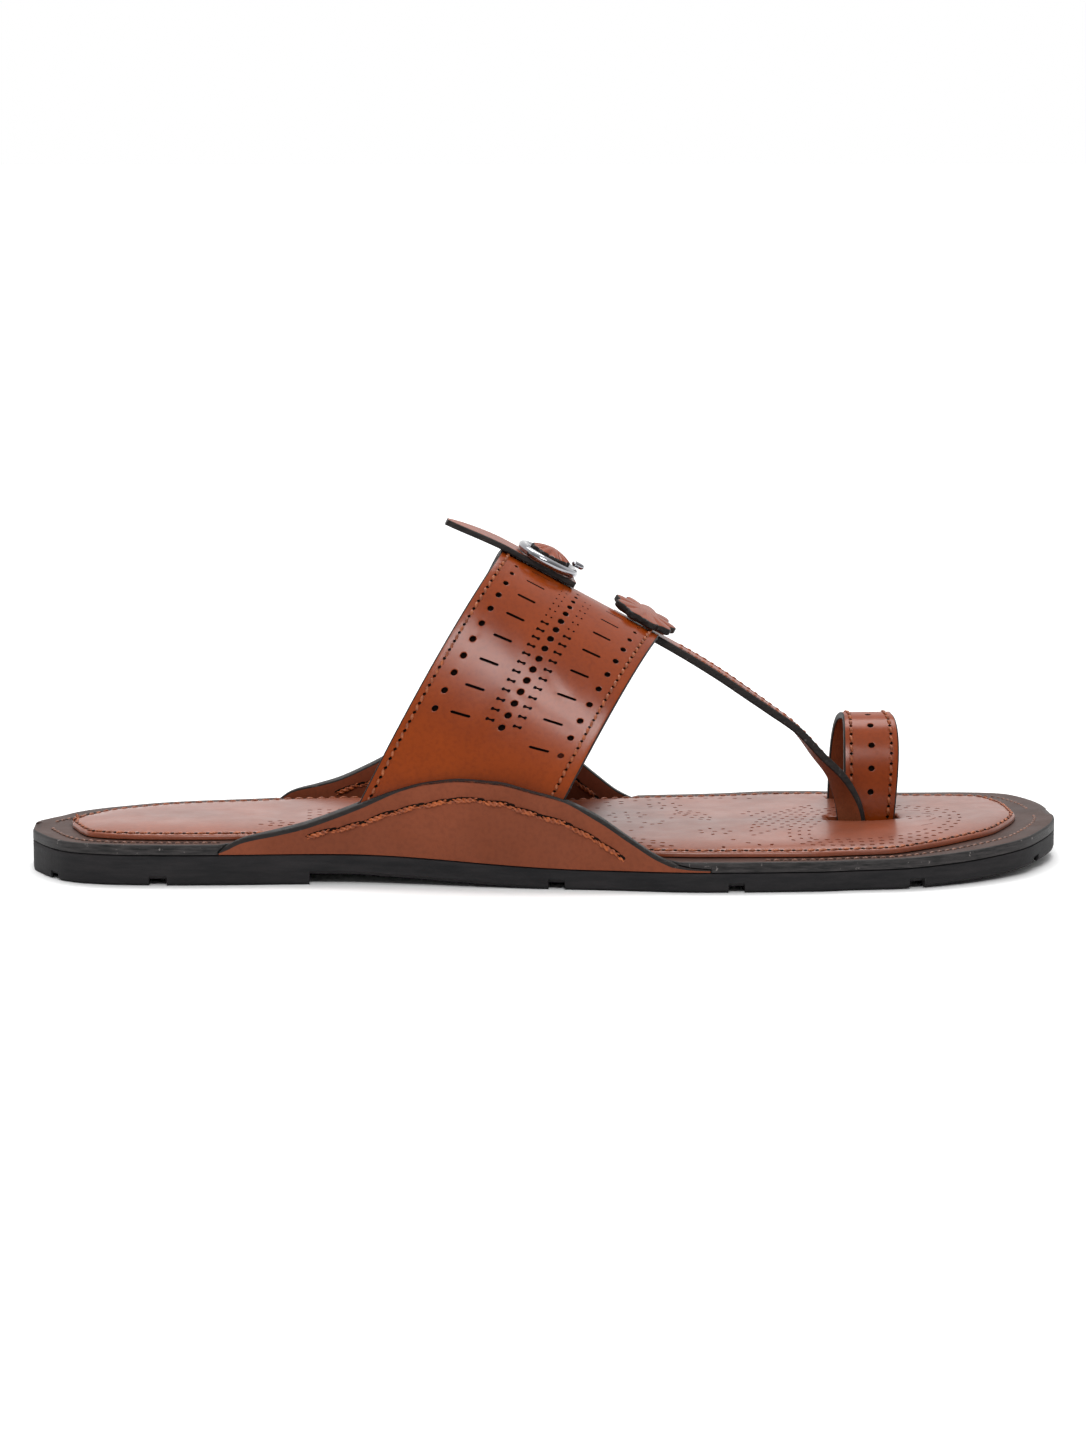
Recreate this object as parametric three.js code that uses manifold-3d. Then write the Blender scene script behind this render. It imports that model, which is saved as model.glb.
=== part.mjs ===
// A kolhapuri sandal for the right foot: layered sole, padded footbed, instep band,
// toe strap and toe loop, two pocketed side flaps, and a small buckle on the band.
// Millimetres, +Z up, heel at -X, toe at +X, big toe side at +Y.

import * as THREE from 'three';
import { mergeVertices } from 'three/addons/utils/BufferGeometryUtils.js';
import Module from 'manifold-3d';

const wasm = await Module();
wasm.setup();

// Driving sizes of the sole
const SOLE_LENGTH = 286;
const BALL_WIDTH = 104.7;
const HEEL_WIDTH = 68;
const HEEL_STACK = 11.3;
const BALL_STACK = 8.4;
const TOE_SPRING = 3;
const MIDSOLE = 2.7;
const HEEL_STEP = 3;
const SOLE_CHAMFER = 0.9;
const GROOVE_DEPTH = 1.9;
const GROOVE_WIDTH = 4.4;
const GAP = 0.3;

// Driving sizes of the footbed
const PAD_MARGIN = 11;
const PAD_HEIGHT = 2.7;
const PAD_EDGE = 0.8;
const PAD_ROUND = 12;
const SLOT_DIP = 0.7;
const SLOT_DIP_REACH = 9;

// Driving sizes of the instep band
const BAND_WIDTH = 50.2;
const BAND_LEATHER = 1.7;
const BAND_PITCH = THREE.MathUtils.degToRad(26);
const INSTEP_HEIGHT = 86.9;
const INSTEP_PLACE = 0.456;
const BAND_DROP = 2.3;
const ARCH_POWER = 2.3;

// Driving sizes of the side flaps
const FLAP_LAYER = 1.2;
const FLAP_SPANS = {
  outer: { start: 0.182, end: 0.643, height: 22.3 },
  inner: { start: 0.23, end: 0.624, height: 24.6 },
};
const FLAP_LEAN = 0.057;
const FLAP_TIP_WALL = 1.5;
const POCKET_EASE = 0.4;
const FLANGE_WIDTH = 12;
const LEATHER_ROUND = 0.4;

// Driving sizes of the toe strap and toe loop
const TOE_STRAP = 2.2;
const TOE_STRAP_WIDTH = 11;
const TOE_STRAP_FOOT = 8;
const TOE_STRAP_EDGE = 1.5;
const TOE_STRAP_TUCK = 1.1;
const TOE_STRAP_BESIDE = 2.9;
const TOE_STRAP_TILT = 0.22;
const TAPER_FROM = 0.2;
const TAPER_TO = 0.9;
const STRAP_OVERLAP = 0.26;
const SEW_DEPTH = 1;
const LOOP_PLACE = 0.817;
const LOOP_WIDTH = 14.2;
const LOOP_FLARE = 1.5;
const LOOP_LEATHER = 1.8;
const LOOP_SPAN = 35;
const LOOP_CENTRE = 18;
const LOOP_HEIGHT = 37.8;
const LOOP_LEAN = 1.7;
const LOOP_POWER = 2.5;
const SLOT_ROOM = 1.6;
const SLOT_REAR_ROOM = 4.5;

// Driving sizes of the buckle and the two scalloped pieces
const BUCKLE_STRAP = 1.7;
const BUCKLE_STRAP_WIDTH = 17;
const TAIL_LENGTH = 17;
const TAIL_DROOP = 1.8;
const TAIL_CURVE = 1.5;
const TAIL_TIP = 0.96;
const RING_LENGTH = 18.5;
const RING_WIDTH = 24;
const RING_WIRE = 2.4;
const RING_POWER = 2.4;
const PRONG = 1.7;
const ROSETTE = 1.8;
const ROSETTE_DOME = 0.6;
const ROSETTE_LENGTH = 11.2;
const ROSETTE_WIDTH = 15.5;
const STEM_LENGTH = 6;
const STEM_WIDTH = 9.6;
const TAB_LIFT = 1.6;
const CREST_ROOM = 0.4;
const TAB_LENGTH = 18;
const TAB_WIDTH = 21;
const SCALLOPS = 9;
const SCALLOP_DEPTH = 0.09;

// Steps of the faceted meshes
const SOLE_STEPS = 44;
const PAD_COLUMNS = 12;
const FLAP_STEPS = 26;
const ARCH_STEPS = 36;
const BAND_COLUMNS = 3;
const LOOP_STEPS = 28;
const STRAP_STEPS = 22;
const DISC_STEPS = 54;
const DISC_SHARES = [0.02, 0.45, 0.8, 1];
const STEM_SIDES = 16;
const WIRE_STEPS = 40;
const WIRE_SIDES = 10;
const FINE_STEP = 1e-3;

function table(columns, rows) {
  return rows.map((row) => Object.fromEntries(columns.map((name, i) => [name, row[i]])));
}

// Outline of the sole: how far each side lies from the shoe's axis, as shares of the local width
const OUTLINE = table(['along', 'outer', 'inner'], [
  [0, 0.06, 0.06],
  [0.007, 0.16, 0.13],
  [0.021, 0.27, 0.2],
  [0.038, 0.35, 0.294],
  [0.06, 0.397, 0.365],
  [0.085, 0.424, 0.418],
  [0.117, 0.441, 0.476],
  [0.157, 0.453, 0.514],
  [0.21, 0.456, 0.544],
  [0.259, 0.456, 0.578],
  [0.41, 0.458, 0.551],
  [0.542, 0.442, 0.5],
  [0.633, 0.459, 0.496],
  [0.689, 0.463, 0.508],
  [0.741, 0.463, 0.531],
  [0.78, 0.452, 0.527],
  [0.822, 0.447, 0.494],
  [0.875, 0.41, 0.452],
  [0.93, 0.333, 0.406],
  [0.955, 0.276, 0.372],
  [0.976, 0.194, 0.325],
  [0.991, 0.115, 0.235],
  [1, 0, 0.085],
]);

// Bare margin of the midsole around the footbed, as shares of its width at the ends
const MARGINS = table(['along', 'outer', 'inner'], [
  [0, 1, 1],
  [0.05, 0.68, 0.95],
  [0.12, 0.57, 0.9],
  [0.66, 0.56, 0.95],
  [0.74, 0.49, 1],
  [0.81, 0.5, 0.95],
  [0.86, 0.72, 0.95],
  [0.92, 0.95, 1],
  [1, 1, 1],
]);

// Cross channels on both sides of the outsole, as shares of its length and of the channel sizes
const GROOVES = table(['along', 'width', 'depth'], [
  [0.024, 0.5, 0.8],
  [0.124, 1.1, 1],
  [0.5, 1, 1.05],
  [0.668, 1, 1],
  [0.84, 0.95, 0.95],
  [0.968, 0.45, 0.7],
]);

// Side flap: share of the flap height, and of its full wall, along the flap's own length
const FLAP = table(['along', 'rise', 'wall'], [
  [0, 0.03, 0],
  [0.02, 0.12, 0.06],
  [0.05, 0.2, 0.2],
  [0.12, 0.283, 0.72],
  [0.17, 0.35, 0.97],
  [0.25, 0.514, 1],
  [0.36, 0.787, 1],
  [0.43, 0.92, 1],
  [0.51, 0.989, 1],
  [0.57, 0.986, 1],
  [0.64, 0.91, 1],
  [0.7, 0.835, 1],
  [0.77, 0.655, 1],
  [0.84, 0.385, 0.8],
  [0.9, 0.17, 0.4],
  [0.96, 0.05, 0.1],
  [1, 0.03, 0],
]);

// Edges of the band: how far they sweep back from the crest to the feet
const BAND_EDGES = {
  rear: { outerSweep: 8, innerSweep: -2.5, power: 1.6 },
  front: { outerSweep: 9.5, innerSweep: -1, power: 1.2 },
};

// Toe strap between the band's front edge and its slot: shares of the run, the drop and the side step
const TOE_STRAP_PATH = table(['along', 'down', 'across', 'turn'], [
  [0, 0, 0, 0],
  [0.153, 0.096, 0.15, 0],
  [0.304, 0.199, 0.3, 0],
  [0.422, 0.286, 0.42, 2],
  [0.54, 0.373, 0.54, 4],
  [0.676, 0.477, 0.68, 10],
  [0.794, 0.609, 0.86, 22],
  [0.892, 0.712, 0.94, 40],
  [0.952, 0.808, 0.97, 52],
  [0.983, 0.891, 1, 60],
  [1, 1, 1, 64],
]);

const lerp = THREE.MathUtils.lerp;
const smoothstep = THREE.MathUtils.smoothstep;

// Smooth curve through one column of a table, with no overshoot between its rows
function follow(rows, column, at, stretch = (along) => along) {
  const xs = rows.map((row) => stretch(row.along));
  const ys = rows.map((row) => row[column]);
  const x = THREE.MathUtils.clamp(stretch(at), xs[0], xs[xs.length - 1]);
  let i = 0;
  while (i < xs.length - 2 && x > xs[i + 1]) i += 1;
  const slope = (k) => (ys[k + 1] - ys[k]) / (xs[k + 1] - xs[k]);
  const tangent = (k) => {
    if (k === 0) return slope(0);
    if (k === xs.length - 1) return slope(k - 1);
    const before = slope(k - 1);
    const after = slope(k);
    return before * after <= 0 ? 0 : (2 * before * after) / (before + after);
  };
  const span = xs[i + 1] - xs[i];
  const u = (x - xs[i]) / span;
  const rise = u * u * (3 - 2 * u);
  const leave = u * (1 - u) * (1 - u) * span * tangent(i);
  const arrive = u * u * (u - 1) * span * tangent(i + 1);
  return lerp(ys[i], ys[i + 1], rise) + leave + arrive;
}

// Closed mesh from a row of rings with equal point counts; each end is closed by strips
// between the first and second half of its ring
function loft(rings, closed = false) {
  const count = rings[0].length;
  const positions = rings.flat().flatMap((p) => [p.x, p.y, p.z]);
  const index = [];
  const quad = (a, b, c, d) => index.push(a, b, c, a, c, d);
  const last = closed ? rings.length : rings.length - 1;
  for (let r = 0; r < last; r += 1) {
    const next = (r + 1) % rings.length;
    for (let i = 0; i < count; i += 1) {
      const j = (i + 1) % count;
      quad(r * count + i, r * count + j, next * count + j, next * count + i);
    }
  }
  if (!closed) {
    const end = (rings.length - 1) * count;
    for (let i = 0; i < count / 2 - 1; i += 1) {
      quad(i, count - 1 - i, count - 2 - i, i + 1);
      quad(end + i, end + i + 1, end + count - 2 - i, end + count - 1 - i);
    }
  }
  const geometry = new THREE.BufferGeometry();
  geometry.setAttribute('position', new THREE.Float32BufferAttribute(positions, 3));
  geometry.setIndex(index);
  return facingOut(geometry);
}

function signedVolume(geometry) {
  const position = geometry.getAttribute('position');
  const corner = [new THREE.Vector3(), new THREE.Vector3(), new THREE.Vector3()];
  let volume = 0;
  for (let i = 0; i < geometry.index.count; i += 3) {
    corner.forEach((p, k) => p.fromBufferAttribute(position, geometry.index.getX(i + k)));
    volume += corner[0].dot(corner[1].cross(corner[2])) / 6;
  }
  return volume;
}

function facingOut(geometry) {
  if (signedVolume(geometry) < 0) {
    const order = Array.from(geometry.index.array);
    for (let i = 0; i < order.length; i += 3) {
      [order[i], order[i + 1]] = [order[i + 1], order[i]];
    }
    geometry.setIndex(order);
  }
  return geometry;
}

function toSolid(geometry) {
  const bare = geometry.clone();
  bare.deleteAttribute('normal');
  bare.deleteAttribute('uv');
  const merged = mergeVertices(bare, 1e-5);
  return new wasm.Manifold(new wasm.Mesh({
    numProp: 3,
    vertProperties: new Float32Array(merged.getAttribute('position').array),
    triVerts: new Uint32Array(merged.index.array),
  }));
}

function toGeometry(solid) {
  const mesh = solid.getMesh();
  const geometry = new THREE.BufferGeometry();
  geometry.setAttribute('position', new THREE.BufferAttribute(mesh.vertProperties, 3));
  geometry.setIndex(new THREE.BufferAttribute(mesh.triVerts, 1));
  return geometry;
}

function block(low, high) {
  const size = new THREE.Vector3().subVectors(high, low);
  const middle = new THREE.Vector3().addVectors(low, high).multiplyScalar(0.5);
  const geometry = new THREE.BoxGeometry(size.x, size.y, size.z);
  geometry.translate(middle.x, middle.y, middle.z);
  return toSolid(geometry);
}

// Shape of the sole

const WAIST_FROM = 0.25;
const WAIST_TO = 0.65;
const STACK_FROM = 0.297;
const STACK_TO = 0.542;
const SPRING_FROM = 0.752;
const INNER = 1;
const OUTER = -1;

const aroundEnds = (along) => Math.acos(1 - 2 * along) / Math.PI;
const fromTurn = (turn) => (1 - Math.cos(Math.PI * turn)) / 2;

function localWidth(along) {
  return lerp(HEEL_WIDTH, BALL_WIDTH, smoothstep(along, WAIST_FROM, WAIST_TO));
}

function edgeY(side, x) {
  const along = THREE.MathUtils.clamp(x / SOLE_LENGTH, 0, 1);
  const column = side === INNER ? 'inner' : 'outer';
  return side * localWidth(along) * follow(OUTLINE, column, along, aroundEnds);
}

function springZ(x) {
  const past = Math.max(0, x / SOLE_LENGTH - SPRING_FROM) / (1 - SPRING_FROM);
  return TOE_SPRING * past * past;
}

function topZ(x) {
  return lerp(HEEL_STACK, BALL_STACK, smoothstep(x / SOLE_LENGTH, STACK_FROM, STACK_TO)) + springZ(x);
}

const midsoleZ = (x) => topZ(x) - MIDSOLE;
const outsoleZ = (x) => midsoleZ(x) - GAP;
const flangeZ = midsoleZ;

// Point of the outline, moved inwards
function outlinePoint(side, turn, inset = 0) {
  const at = (s) => {
    const x = SOLE_LENGTH * fromTurn(s);
    return new THREE.Vector2(x, edgeY(side, x));
  };
  const ahead = at(Math.min(1, turn + FINE_STEP));
  const tangent = ahead.sub(at(Math.max(0, turn - FINE_STEP))).normalize();
  const inward = new THREE.Vector2(tangent.y, -tangent.x).multiplyScalar(side);
  return at(turn).addScaledVector(inward, inset);
}

// Sole layer whose side wall is given from top to bottom as rows of inset and height
function soleLayer(wall) {
  const rings = [];
  for (let k = 0; k <= SOLE_STEPS; k += 1) {
    const half = (side) => wall.map(({ inset, height }) => {
      const p = outlinePoint(side, k / SOLE_STEPS, inset);
      return new THREE.Vector3(p.x, p.y, height(p.x));
    });
    rings.push([...half(OUTER), ...half(INNER).reverse()]);
  }
  return toSolid(loft(rings));
}

// Prism across the whole shoe, from a profile of shares of the length and heights
function crossPrism(profile) {
  const reach = BALL_WIDTH;
  const rings = [-reach, reach].map((y) => profile.map(([x, z]) => new THREE.Vector3(x, y, z)));
  return toSolid(loft(rings));
}

const BREAST = 0.2675;
const ARCH_FLAT = 0.31;
const ARCH_END = 0.49;

function makeOutsole() {
  let solid = soleLayer([
    { inset: 0, height: outsoleZ },
    { inset: 0, height: (x) => springZ(x) + SOLE_CHAMFER },
    { inset: SOLE_CHAMFER, height: springZ },
  ]);
  const below = -HEEL_STEP;
  solid = solid.subtract(crossPrism([
    [BREAST * SOLE_LENGTH, HEEL_STEP],
    [ARCH_FLAT * SOLE_LENGTH, HEEL_STEP],
    [ARCH_END * SOLE_LENGTH, 0],
    [ARCH_END * SOLE_LENGTH, below],
    [ARCH_FLAT * SOLE_LENGTH, below],
    [BREAST * SOLE_LENGTH, below],
  ]));
  GROOVES.forEach(({ along, width, depth }) => {
    const x = along * SOLE_LENGTH;
    const half = (width * GROOVE_WIDTH) / 2;
    const top = springZ(x) + depth * GROOVE_DEPTH;
    solid = solid.subtract(block(
      new THREE.Vector3(x - half, -BALL_WIDTH, below),
      new THREE.Vector3(x + half, BALL_WIDTH, top),
    ));
  });
  return solid;
}

function makeMidsole() {
  const round = LEATHER_ROUND;
  let solid = soleLayer([
    { inset: round, height: topZ },
    { inset: 0, height: (x) => topZ(x) - round },
    { inset: 0, height: midsoleZ },
  ]);
  [INNER, OUTER].forEach((side) => {
    solid = solid.subtract(flapFlange(side, GAP));
    solid = solid.subtract(flapWall(side, GAP));
  });
  return cutSlots(solid);
}

// Padded footbed

function padHeight(x, y, rim) {
  let reach = Infinity;
  rim.forEach((p, i) => {
    const q = rim[(i + 1) % rim.length];
    const edge = new THREE.Vector2().subVectors(q, p);
    const to = new THREE.Vector2(x - p.x, y - p.y);
    const share = THREE.MathUtils.clamp(to.dot(edge) / edge.lengthSq(), 0, 1);
    reach = Math.min(reach, to.addScaledVector(edge, -share).length());
  });
  const short = 1 - Math.min(reach / PAD_ROUND, 1);
  const crown = PAD_EDGE + (PAD_HEIGHT - PAD_EDGE) * Math.sqrt(1 - short * short);
  const away = Math.hypot(x - loopX(0), y - loopFootY(OUTER)) / SLOT_DIP_REACH;
  return crown - SLOT_DIP * Math.exp(-away * away);
}

function makeFootbed() {
  const rimPoint = (side, turn) => {
    const column = side === INNER ? 'inner' : 'outer';
    return outlinePoint(side, turn, PAD_MARGIN * follow(MARGINS, column, fromTurn(turn)));
  };
  const turns = Array.from({ length: SOLE_STEPS + 1 }, (_, k) => k / SOLE_STEPS);
  const rim = [
    ...turns.map((turn) => rimPoint(OUTER, turn)),
    ...turns.map((turn) => rimPoint(INNER, turn)).reverse(),
  ];
  const rings = turns.map((turn) => {
    const from = rimPoint(OUTER, turn);
    const to = rimPoint(INNER, turn);
    const across = Array.from({ length: PAD_COLUMNS + 1 }, (_, j) => (
      from.clone().lerp(to, fromTurn(j / PAD_COLUMNS))
    ));
    const under = across.map((p) => new THREE.Vector3(p.x, p.y, topZ(p.x) + GAP));
    const over = across.map((p, j) => {
      const rise = padHeight(p.x, p.y, rim);
      return new THREE.Vector3(p.x, p.y, topZ(p.x) + GAP + rise);
    });
    return [...over, ...under.reverse()];
  });
  return cutSlots(toSolid(loft(rings)));
}

// Instep band: a ruled strip between two arches that stand in a plane tilted by BAND_PITCH

const FEET = {
  rear: { outer: 0.3, inner: 0.34 },
  front: { outer: 0.495, inner: 0.53 },
};

function bandFootY(side, x) {
  const halfWay = flapSpan(side).height / 2;
  return edgeY(side, x) - side * (FLAP_LAYER + GAP + FLAP_LEAN * halfWay);
}

function bandEdge(name) {
  const rear = name === 'rear';
  const inner = bandFootY(INNER, FEET[name].inner * SOLE_LENGTH);
  const outer = bandFootY(OUTER, FEET[name].outer * SOLE_LENGTH);
  const crestX = INSTEP_PLACE * SOLE_LENGTH;
  const along = crestX * Math.cos(BAND_PITCH) - INSTEP_HEIGHT * Math.sin(BAND_PITCH);
  const crest = crestX * Math.sin(BAND_PITCH) + INSTEP_HEIGHT * Math.cos(BAND_PITCH);
  return {
    ...BAND_EDGES[name],
    along: rear ? along : along + BAND_WIDTH,
    crest: rear ? crest : crest - BAND_DROP,
    footZ: flangeZ(FEET[name].outer * SOLE_LENGTH) + FLAP_LAYER + GAP,
    centre: (inner + outer) / 2,
    half: (inner - outer) / 2,
  };
}

function edgePoint(edge, turn, extend, sink) {
  const reach = Math.abs(Math.cos(turn)) ** (2 / ARCH_POWER) * Math.sign(Math.cos(turn));
  const lift = Math.abs(Math.sin(turn)) ** (2 / ARCH_POWER);
  const sweep = reach > 0 ? edge.innerSweep : edge.outerSweep;
  const along = edge.along - sweep * Math.abs(reach) ** edge.power + extend;
  const footAlong = edge.along - sweep + extend;
  const footZ = edge.footZ - sink;
  const base = (footZ + footAlong * Math.sin(BAND_PITCH)) / Math.cos(BAND_PITCH);
  const up = base + (edge.crest - base) * lift;
  return new THREE.Vector3(
    along * Math.cos(BAND_PITCH) + up * Math.sin(BAND_PITCH),
    edge.centre + edge.half * reach,
    up * Math.cos(BAND_PITCH) - along * Math.sin(BAND_PITCH),
  );
}

const REAR_EDGE = bandEdge('rear');
const FRONT_EDGE = bandEdge('front');

// Point of the band's outer face: turn runs over the arch from the inner to the outer foot,
// share from the rear to the front edge, and depth goes into the leather
function bandPoint(turn, share, depth = 0, room = 0) {
  const at = (t, s) => edgePoint(REAR_EDGE, t, -room, room).lerp(edgePoint(FRONT_EDGE, t, room, room), s);
  const step = FINE_STEP;
  const tangent = at(turn + step, share).sub(at(turn - step, share));
  if (turn < step || turn > Math.PI - step) {
    const inwards = turn < step ? 1 : -1;
    tangent.copy(at(turn + inwards * step, share).sub(at(turn, share))).multiplyScalar(inwards);
  }
  const across = at(turn, 1).sub(at(turn, 0));
  const outward = new THREE.Vector3().crossVectors(tangent, across).normalize();
  return at(turn, share).addScaledVector(outward, -depth);
}

function bandStrip(room = 0) {
  const rings = [];
  for (let k = 0; k <= ARCH_STEPS; k += 1) {
    const turn = (Math.PI * k) / ARCH_STEPS;
    const shares = Array.from({ length: BAND_COLUMNS + 1 }, (_, j) => j / BAND_COLUMNS);
    const over = shares.map((share) => bandPoint(turn, share, -room, room));
    const under = shares.map((share) => bandPoint(turn, share, BAND_LEATHER + room, room)).reverse();
    rings.push([...over, ...under]);
  }
  return toSolid(loft(rings));
}

// Frame where the small pieces lie, a little to the inner side of the crest: along the strip
// towards the toe, across it, and out of the leather. Roll leans it to the outer side.
const CREST_TURN = THREE.MathUtils.degToRad(84.5);

function crestFrame(share, roll = 0) {
  const origin = bandPoint(CREST_TURN, share);
  const forward = bandPoint(CREST_TURN, 1).sub(bandPoint(CREST_TURN, 0)).normalize();
  const out = bandPoint(CREST_TURN, share, -1).sub(origin).normalize();
  out.applyAxisAngle(forward, roll);
  const across = new THREE.Vector3().crossVectors(out, forward).normalize();
  return { origin, forward, across, out };
}

function onCrest(frame, forward, across, out) {
  return frame.origin.clone()
    .addScaledVector(frame.forward, forward)
    .addScaledVector(frame.across, across)
    .addScaledVector(frame.out, out);
}

// Flat strap from a list of stations, each with a point of its outer edge, the direction of
// its width from there, and its sizes
function strap(stations) {
  const rings = stations.map(({ edge, wide, width, thick }, i) => {
    const before = stations[Math.max(0, i - 1)].edge;
    const after = stations[Math.min(stations.length - 1, i + 1)].edge;
    const run = new THREE.Vector3().subVectors(after, before).normalize();
    const side = wide.clone().addScaledVector(run, -wide.dot(run)).normalize();
    const up = new THREE.Vector3().crossVectors(run, side);
    const corner = (across, out) => edge.clone()
      .addScaledVector(side, across * width)
      .addScaledVector(up, (out * thick) / 2);
    return [corner(0, 1), corner(1, 1), corner(1, -1), corner(0, -1)];
  });
  return toSolid(loft(rings));
}

// Toe strap: sewn under the band's crest, twisting as it comes down between the toes

function makeToeStrap() {
  const frame = crestFrame(1);
  const inset = BAND_LEATHER + TOE_STRAP / 2 - SEW_DEPTH;
  const outer = TOE_STRAP_EDGE - TOE_STRAP_WIDTH / 2;
  const start = onCrest(frame, 0, outer, -inset);
  const hidden = onCrest(frame, -STRAP_OVERLAP * BAND_WIDTH, outer, -inset);
  const footX = loopX(0) - TOE_STRAP_TUCK;
  const footZ = midsoleZ(footX) + TOE_STRAP_TILT * TOE_STRAP_FOOT;
  const foot = new THREE.Vector3(footX, loopFootY(OUTER) - TOE_STRAP_BESIDE, footZ);
  const route = TOE_STRAP_PATH.map(({ along, down, across, turn }) => ({
    point: new THREE.Vector3(
      lerp(start.x, foot.x, along),
      lerp(start.y, foot.y, across),
      lerp(start.z, foot.z, down),
    ),
    turn,
  }));
  route.unshift({ point: hidden, turn: 0 });
  const curve = new THREE.CatmullRomCurve3(route.map((row) => row.point), false, 'centripetal');
  const stations = Array.from({ length: STRAP_STEPS + 1 }, (_, k) => {
    const place = (k / STRAP_STEPS) * (route.length - 1);
    const i = Math.min(Math.floor(place), route.length - 2);
    const turn = THREE.MathUtils.degToRad(lerp(route[i].turn, route[i + 1].turn, place - i));
    return {
      edge: curve.getPoint(k / STRAP_STEPS),
      wide: new THREE.Vector3(-Math.sin(turn), Math.cos(turn), 0),
      width: lerp(TOE_STRAP_WIDTH, TOE_STRAP_FOOT, smoothstep(k / STRAP_STEPS, TAPER_FROM, TAPER_TO)),
      thick: TOE_STRAP,
    };
  });
  return strap(stations);
}

// Toe loop: an arch over the big toe, standing on the outsole through slots in the footbed

function loopX(lift) {
  return LOOP_PLACE * SOLE_LENGTH + LOOP_LEAN * lift;
}

function loopFootY(side) {
  return LOOP_CENTRE + (side * LOOP_SPAN) / 2;
}

function makeToeLoop() {
  const base = midsoleZ(loopX(0));
  const rings = [];
  for (let k = 0; k <= LOOP_STEPS; k += 1) {
    const turn = (Math.PI * k) / LOOP_STEPS;
    const ring = [];
    [0, LOOP_LEATHER].forEach((depth) => {
      const half = LOOP_SPAN / 2 - depth;
      const height = LOOP_HEIGHT - depth - base;
      const reach = Math.abs(Math.cos(turn)) ** (2 / LOOP_POWER) * Math.sign(Math.cos(turn));
      const lift = Math.sin(turn) ** (2 / LOOP_POWER);
      const width = LOOP_WIDTH + LOOP_FLARE * Math.abs(Math.sin(2 * turn));
      const row = [-1, 1].map((end) => new THREE.Vector3(
        loopX(lift) + (end * width) / 2,
        LOOP_CENTRE + half * reach,
        base + height * lift,
      ));
      ring.push(...(depth === 0 ? row : row.reverse()));
    });
    rings.push(ring);
  }
  return toSolid(loft(rings));
}

function cutSlots(solid) {
  const x = loopX(0);
  const low = 0;
  const high = LOOP_HEIGHT;
  const front = x + LOOP_WIDTH / 2 + GAP + LOOP_LEAN / 2;
  const back = x - LOOP_WIDTH / 2;
  const inner = loopFootY(INNER);
  const outer = loopFootY(OUTER);
  const nearSlot = block(
    new THREE.Vector3(back - SLOT_REAR_ROOM, outer - TOE_STRAP_BESIDE - SLOT_ROOM, low),
    new THREE.Vector3(front, outer + LOOP_LEATHER + SLOT_ROOM, high),
  );
  const farSlot = block(
    new THREE.Vector3(back - GAP, inner - LOOP_LEATHER - SLOT_ROOM / 2, low),
    new THREE.Vector3(front, inner + GAP, high),
  );
  return solid.subtract(nearSlot).subtract(farSlot);
}

// Side flaps: two glued layers that part into a pocket for the band's feet

function flapSpan(side) {
  return side === INNER ? FLAP_SPANS.inner : FLAP_SPANS.outer;
}

function flapX(side, along) {
  const { start, end } = flapSpan(side);
  return SOLE_LENGTH * lerp(start, end, along);
}

const FULL_WALL = 2 * FLAP_LAYER + BAND_LEATHER + 2 * GAP + POCKET_EASE;

function flapWall(side, room = 0) {
  const rings = [];
  const cutter = room > 0;
  for (let k = 0; k <= FLAP_STEPS; k += 1) {
    const along = k / FLAP_STEPS;
    const x = flapX(side, along) + (k === 0 ? -room : 0) + (k === FLAP_STEPS ? room : 0);
    const base = flangeZ(x);
    const crest = base + flapSpan(side).height * follow(FLAP, 'rise', along) + room;
    const wall = lerp(FLAP_TIP_WALL, FULL_WALL, follow(FLAP, 'wall', along));
    const outer = edgeY(side, x) + (cutter ? side * FLANGE_WIDTH : 0);
    const inner = edgeY(side, x) - side * (wall + room);
    const lean = (z) => (cutter ? 0 : side * FLAP_LEAN * (z - base));
    const point = (y, z) => new THREE.Vector3(x, y - lean(z), z);
    const shoulder = crest - LEATHER_ROUND;
    rings.push([
      point(outer, base - room),
      point(outer, shoulder),
      point(outer - side * LEATHER_ROUND, crest),
      point(inner + side * LEATHER_ROUND, crest),
      point(inner, shoulder),
      point(inner, base - room),
    ]);
  }
  return toSolid(loft(rings));
}

function flapFlange(side, room = 0) {
  const rings = [];
  for (let k = 0; k <= FLAP_STEPS; k += 1) {
    const along = k / FLAP_STEPS;
    const x = flapX(side, along) + (k === 0 ? -room : 0) + (k === FLAP_STEPS ? room : 0);
    const width = lerp(FLAP_TIP_WALL, FLANGE_WIDTH, follow(FLAP, 'wall', along));
    const outer = edgeY(side, x) + (room > 0 ? side * FLANGE_WIDTH : 0);
    const inner = edgeY(side, x) - side * (width + room);
    const low = flangeZ(x) - room;
    const high = flangeZ(x) + FLAP_LAYER + room;
    rings.push([
      new THREE.Vector3(x, outer, high),
      new THREE.Vector3(x, inner, high),
      new THREE.Vector3(x, inner, low),
      new THREE.Vector3(x, outer, low),
    ]);
  }
  return toSolid(loft(rings));
}

function makeFlap(side) {
  return flapWall(side).add(flapFlange(side)).subtract(bandStrip(GAP));
}

// Buckle and scalloped pieces on the band's crest

const BUCKLE_SHARE = 0.26;
const BUCKLE_ROLL = THREE.MathUtils.degToRad(9);
const TAB_SHARE = 0.885;
const TAB_ROLL = THREE.MathUtils.degToRad(11.5);

function buckleFrame() {
  const frame = crestFrame(BUCKLE_SHARE, BUCKLE_ROLL);
  frame.origin.addScaledVector(frame.out, CREST_ROOM);
  return frame;
}

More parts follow.
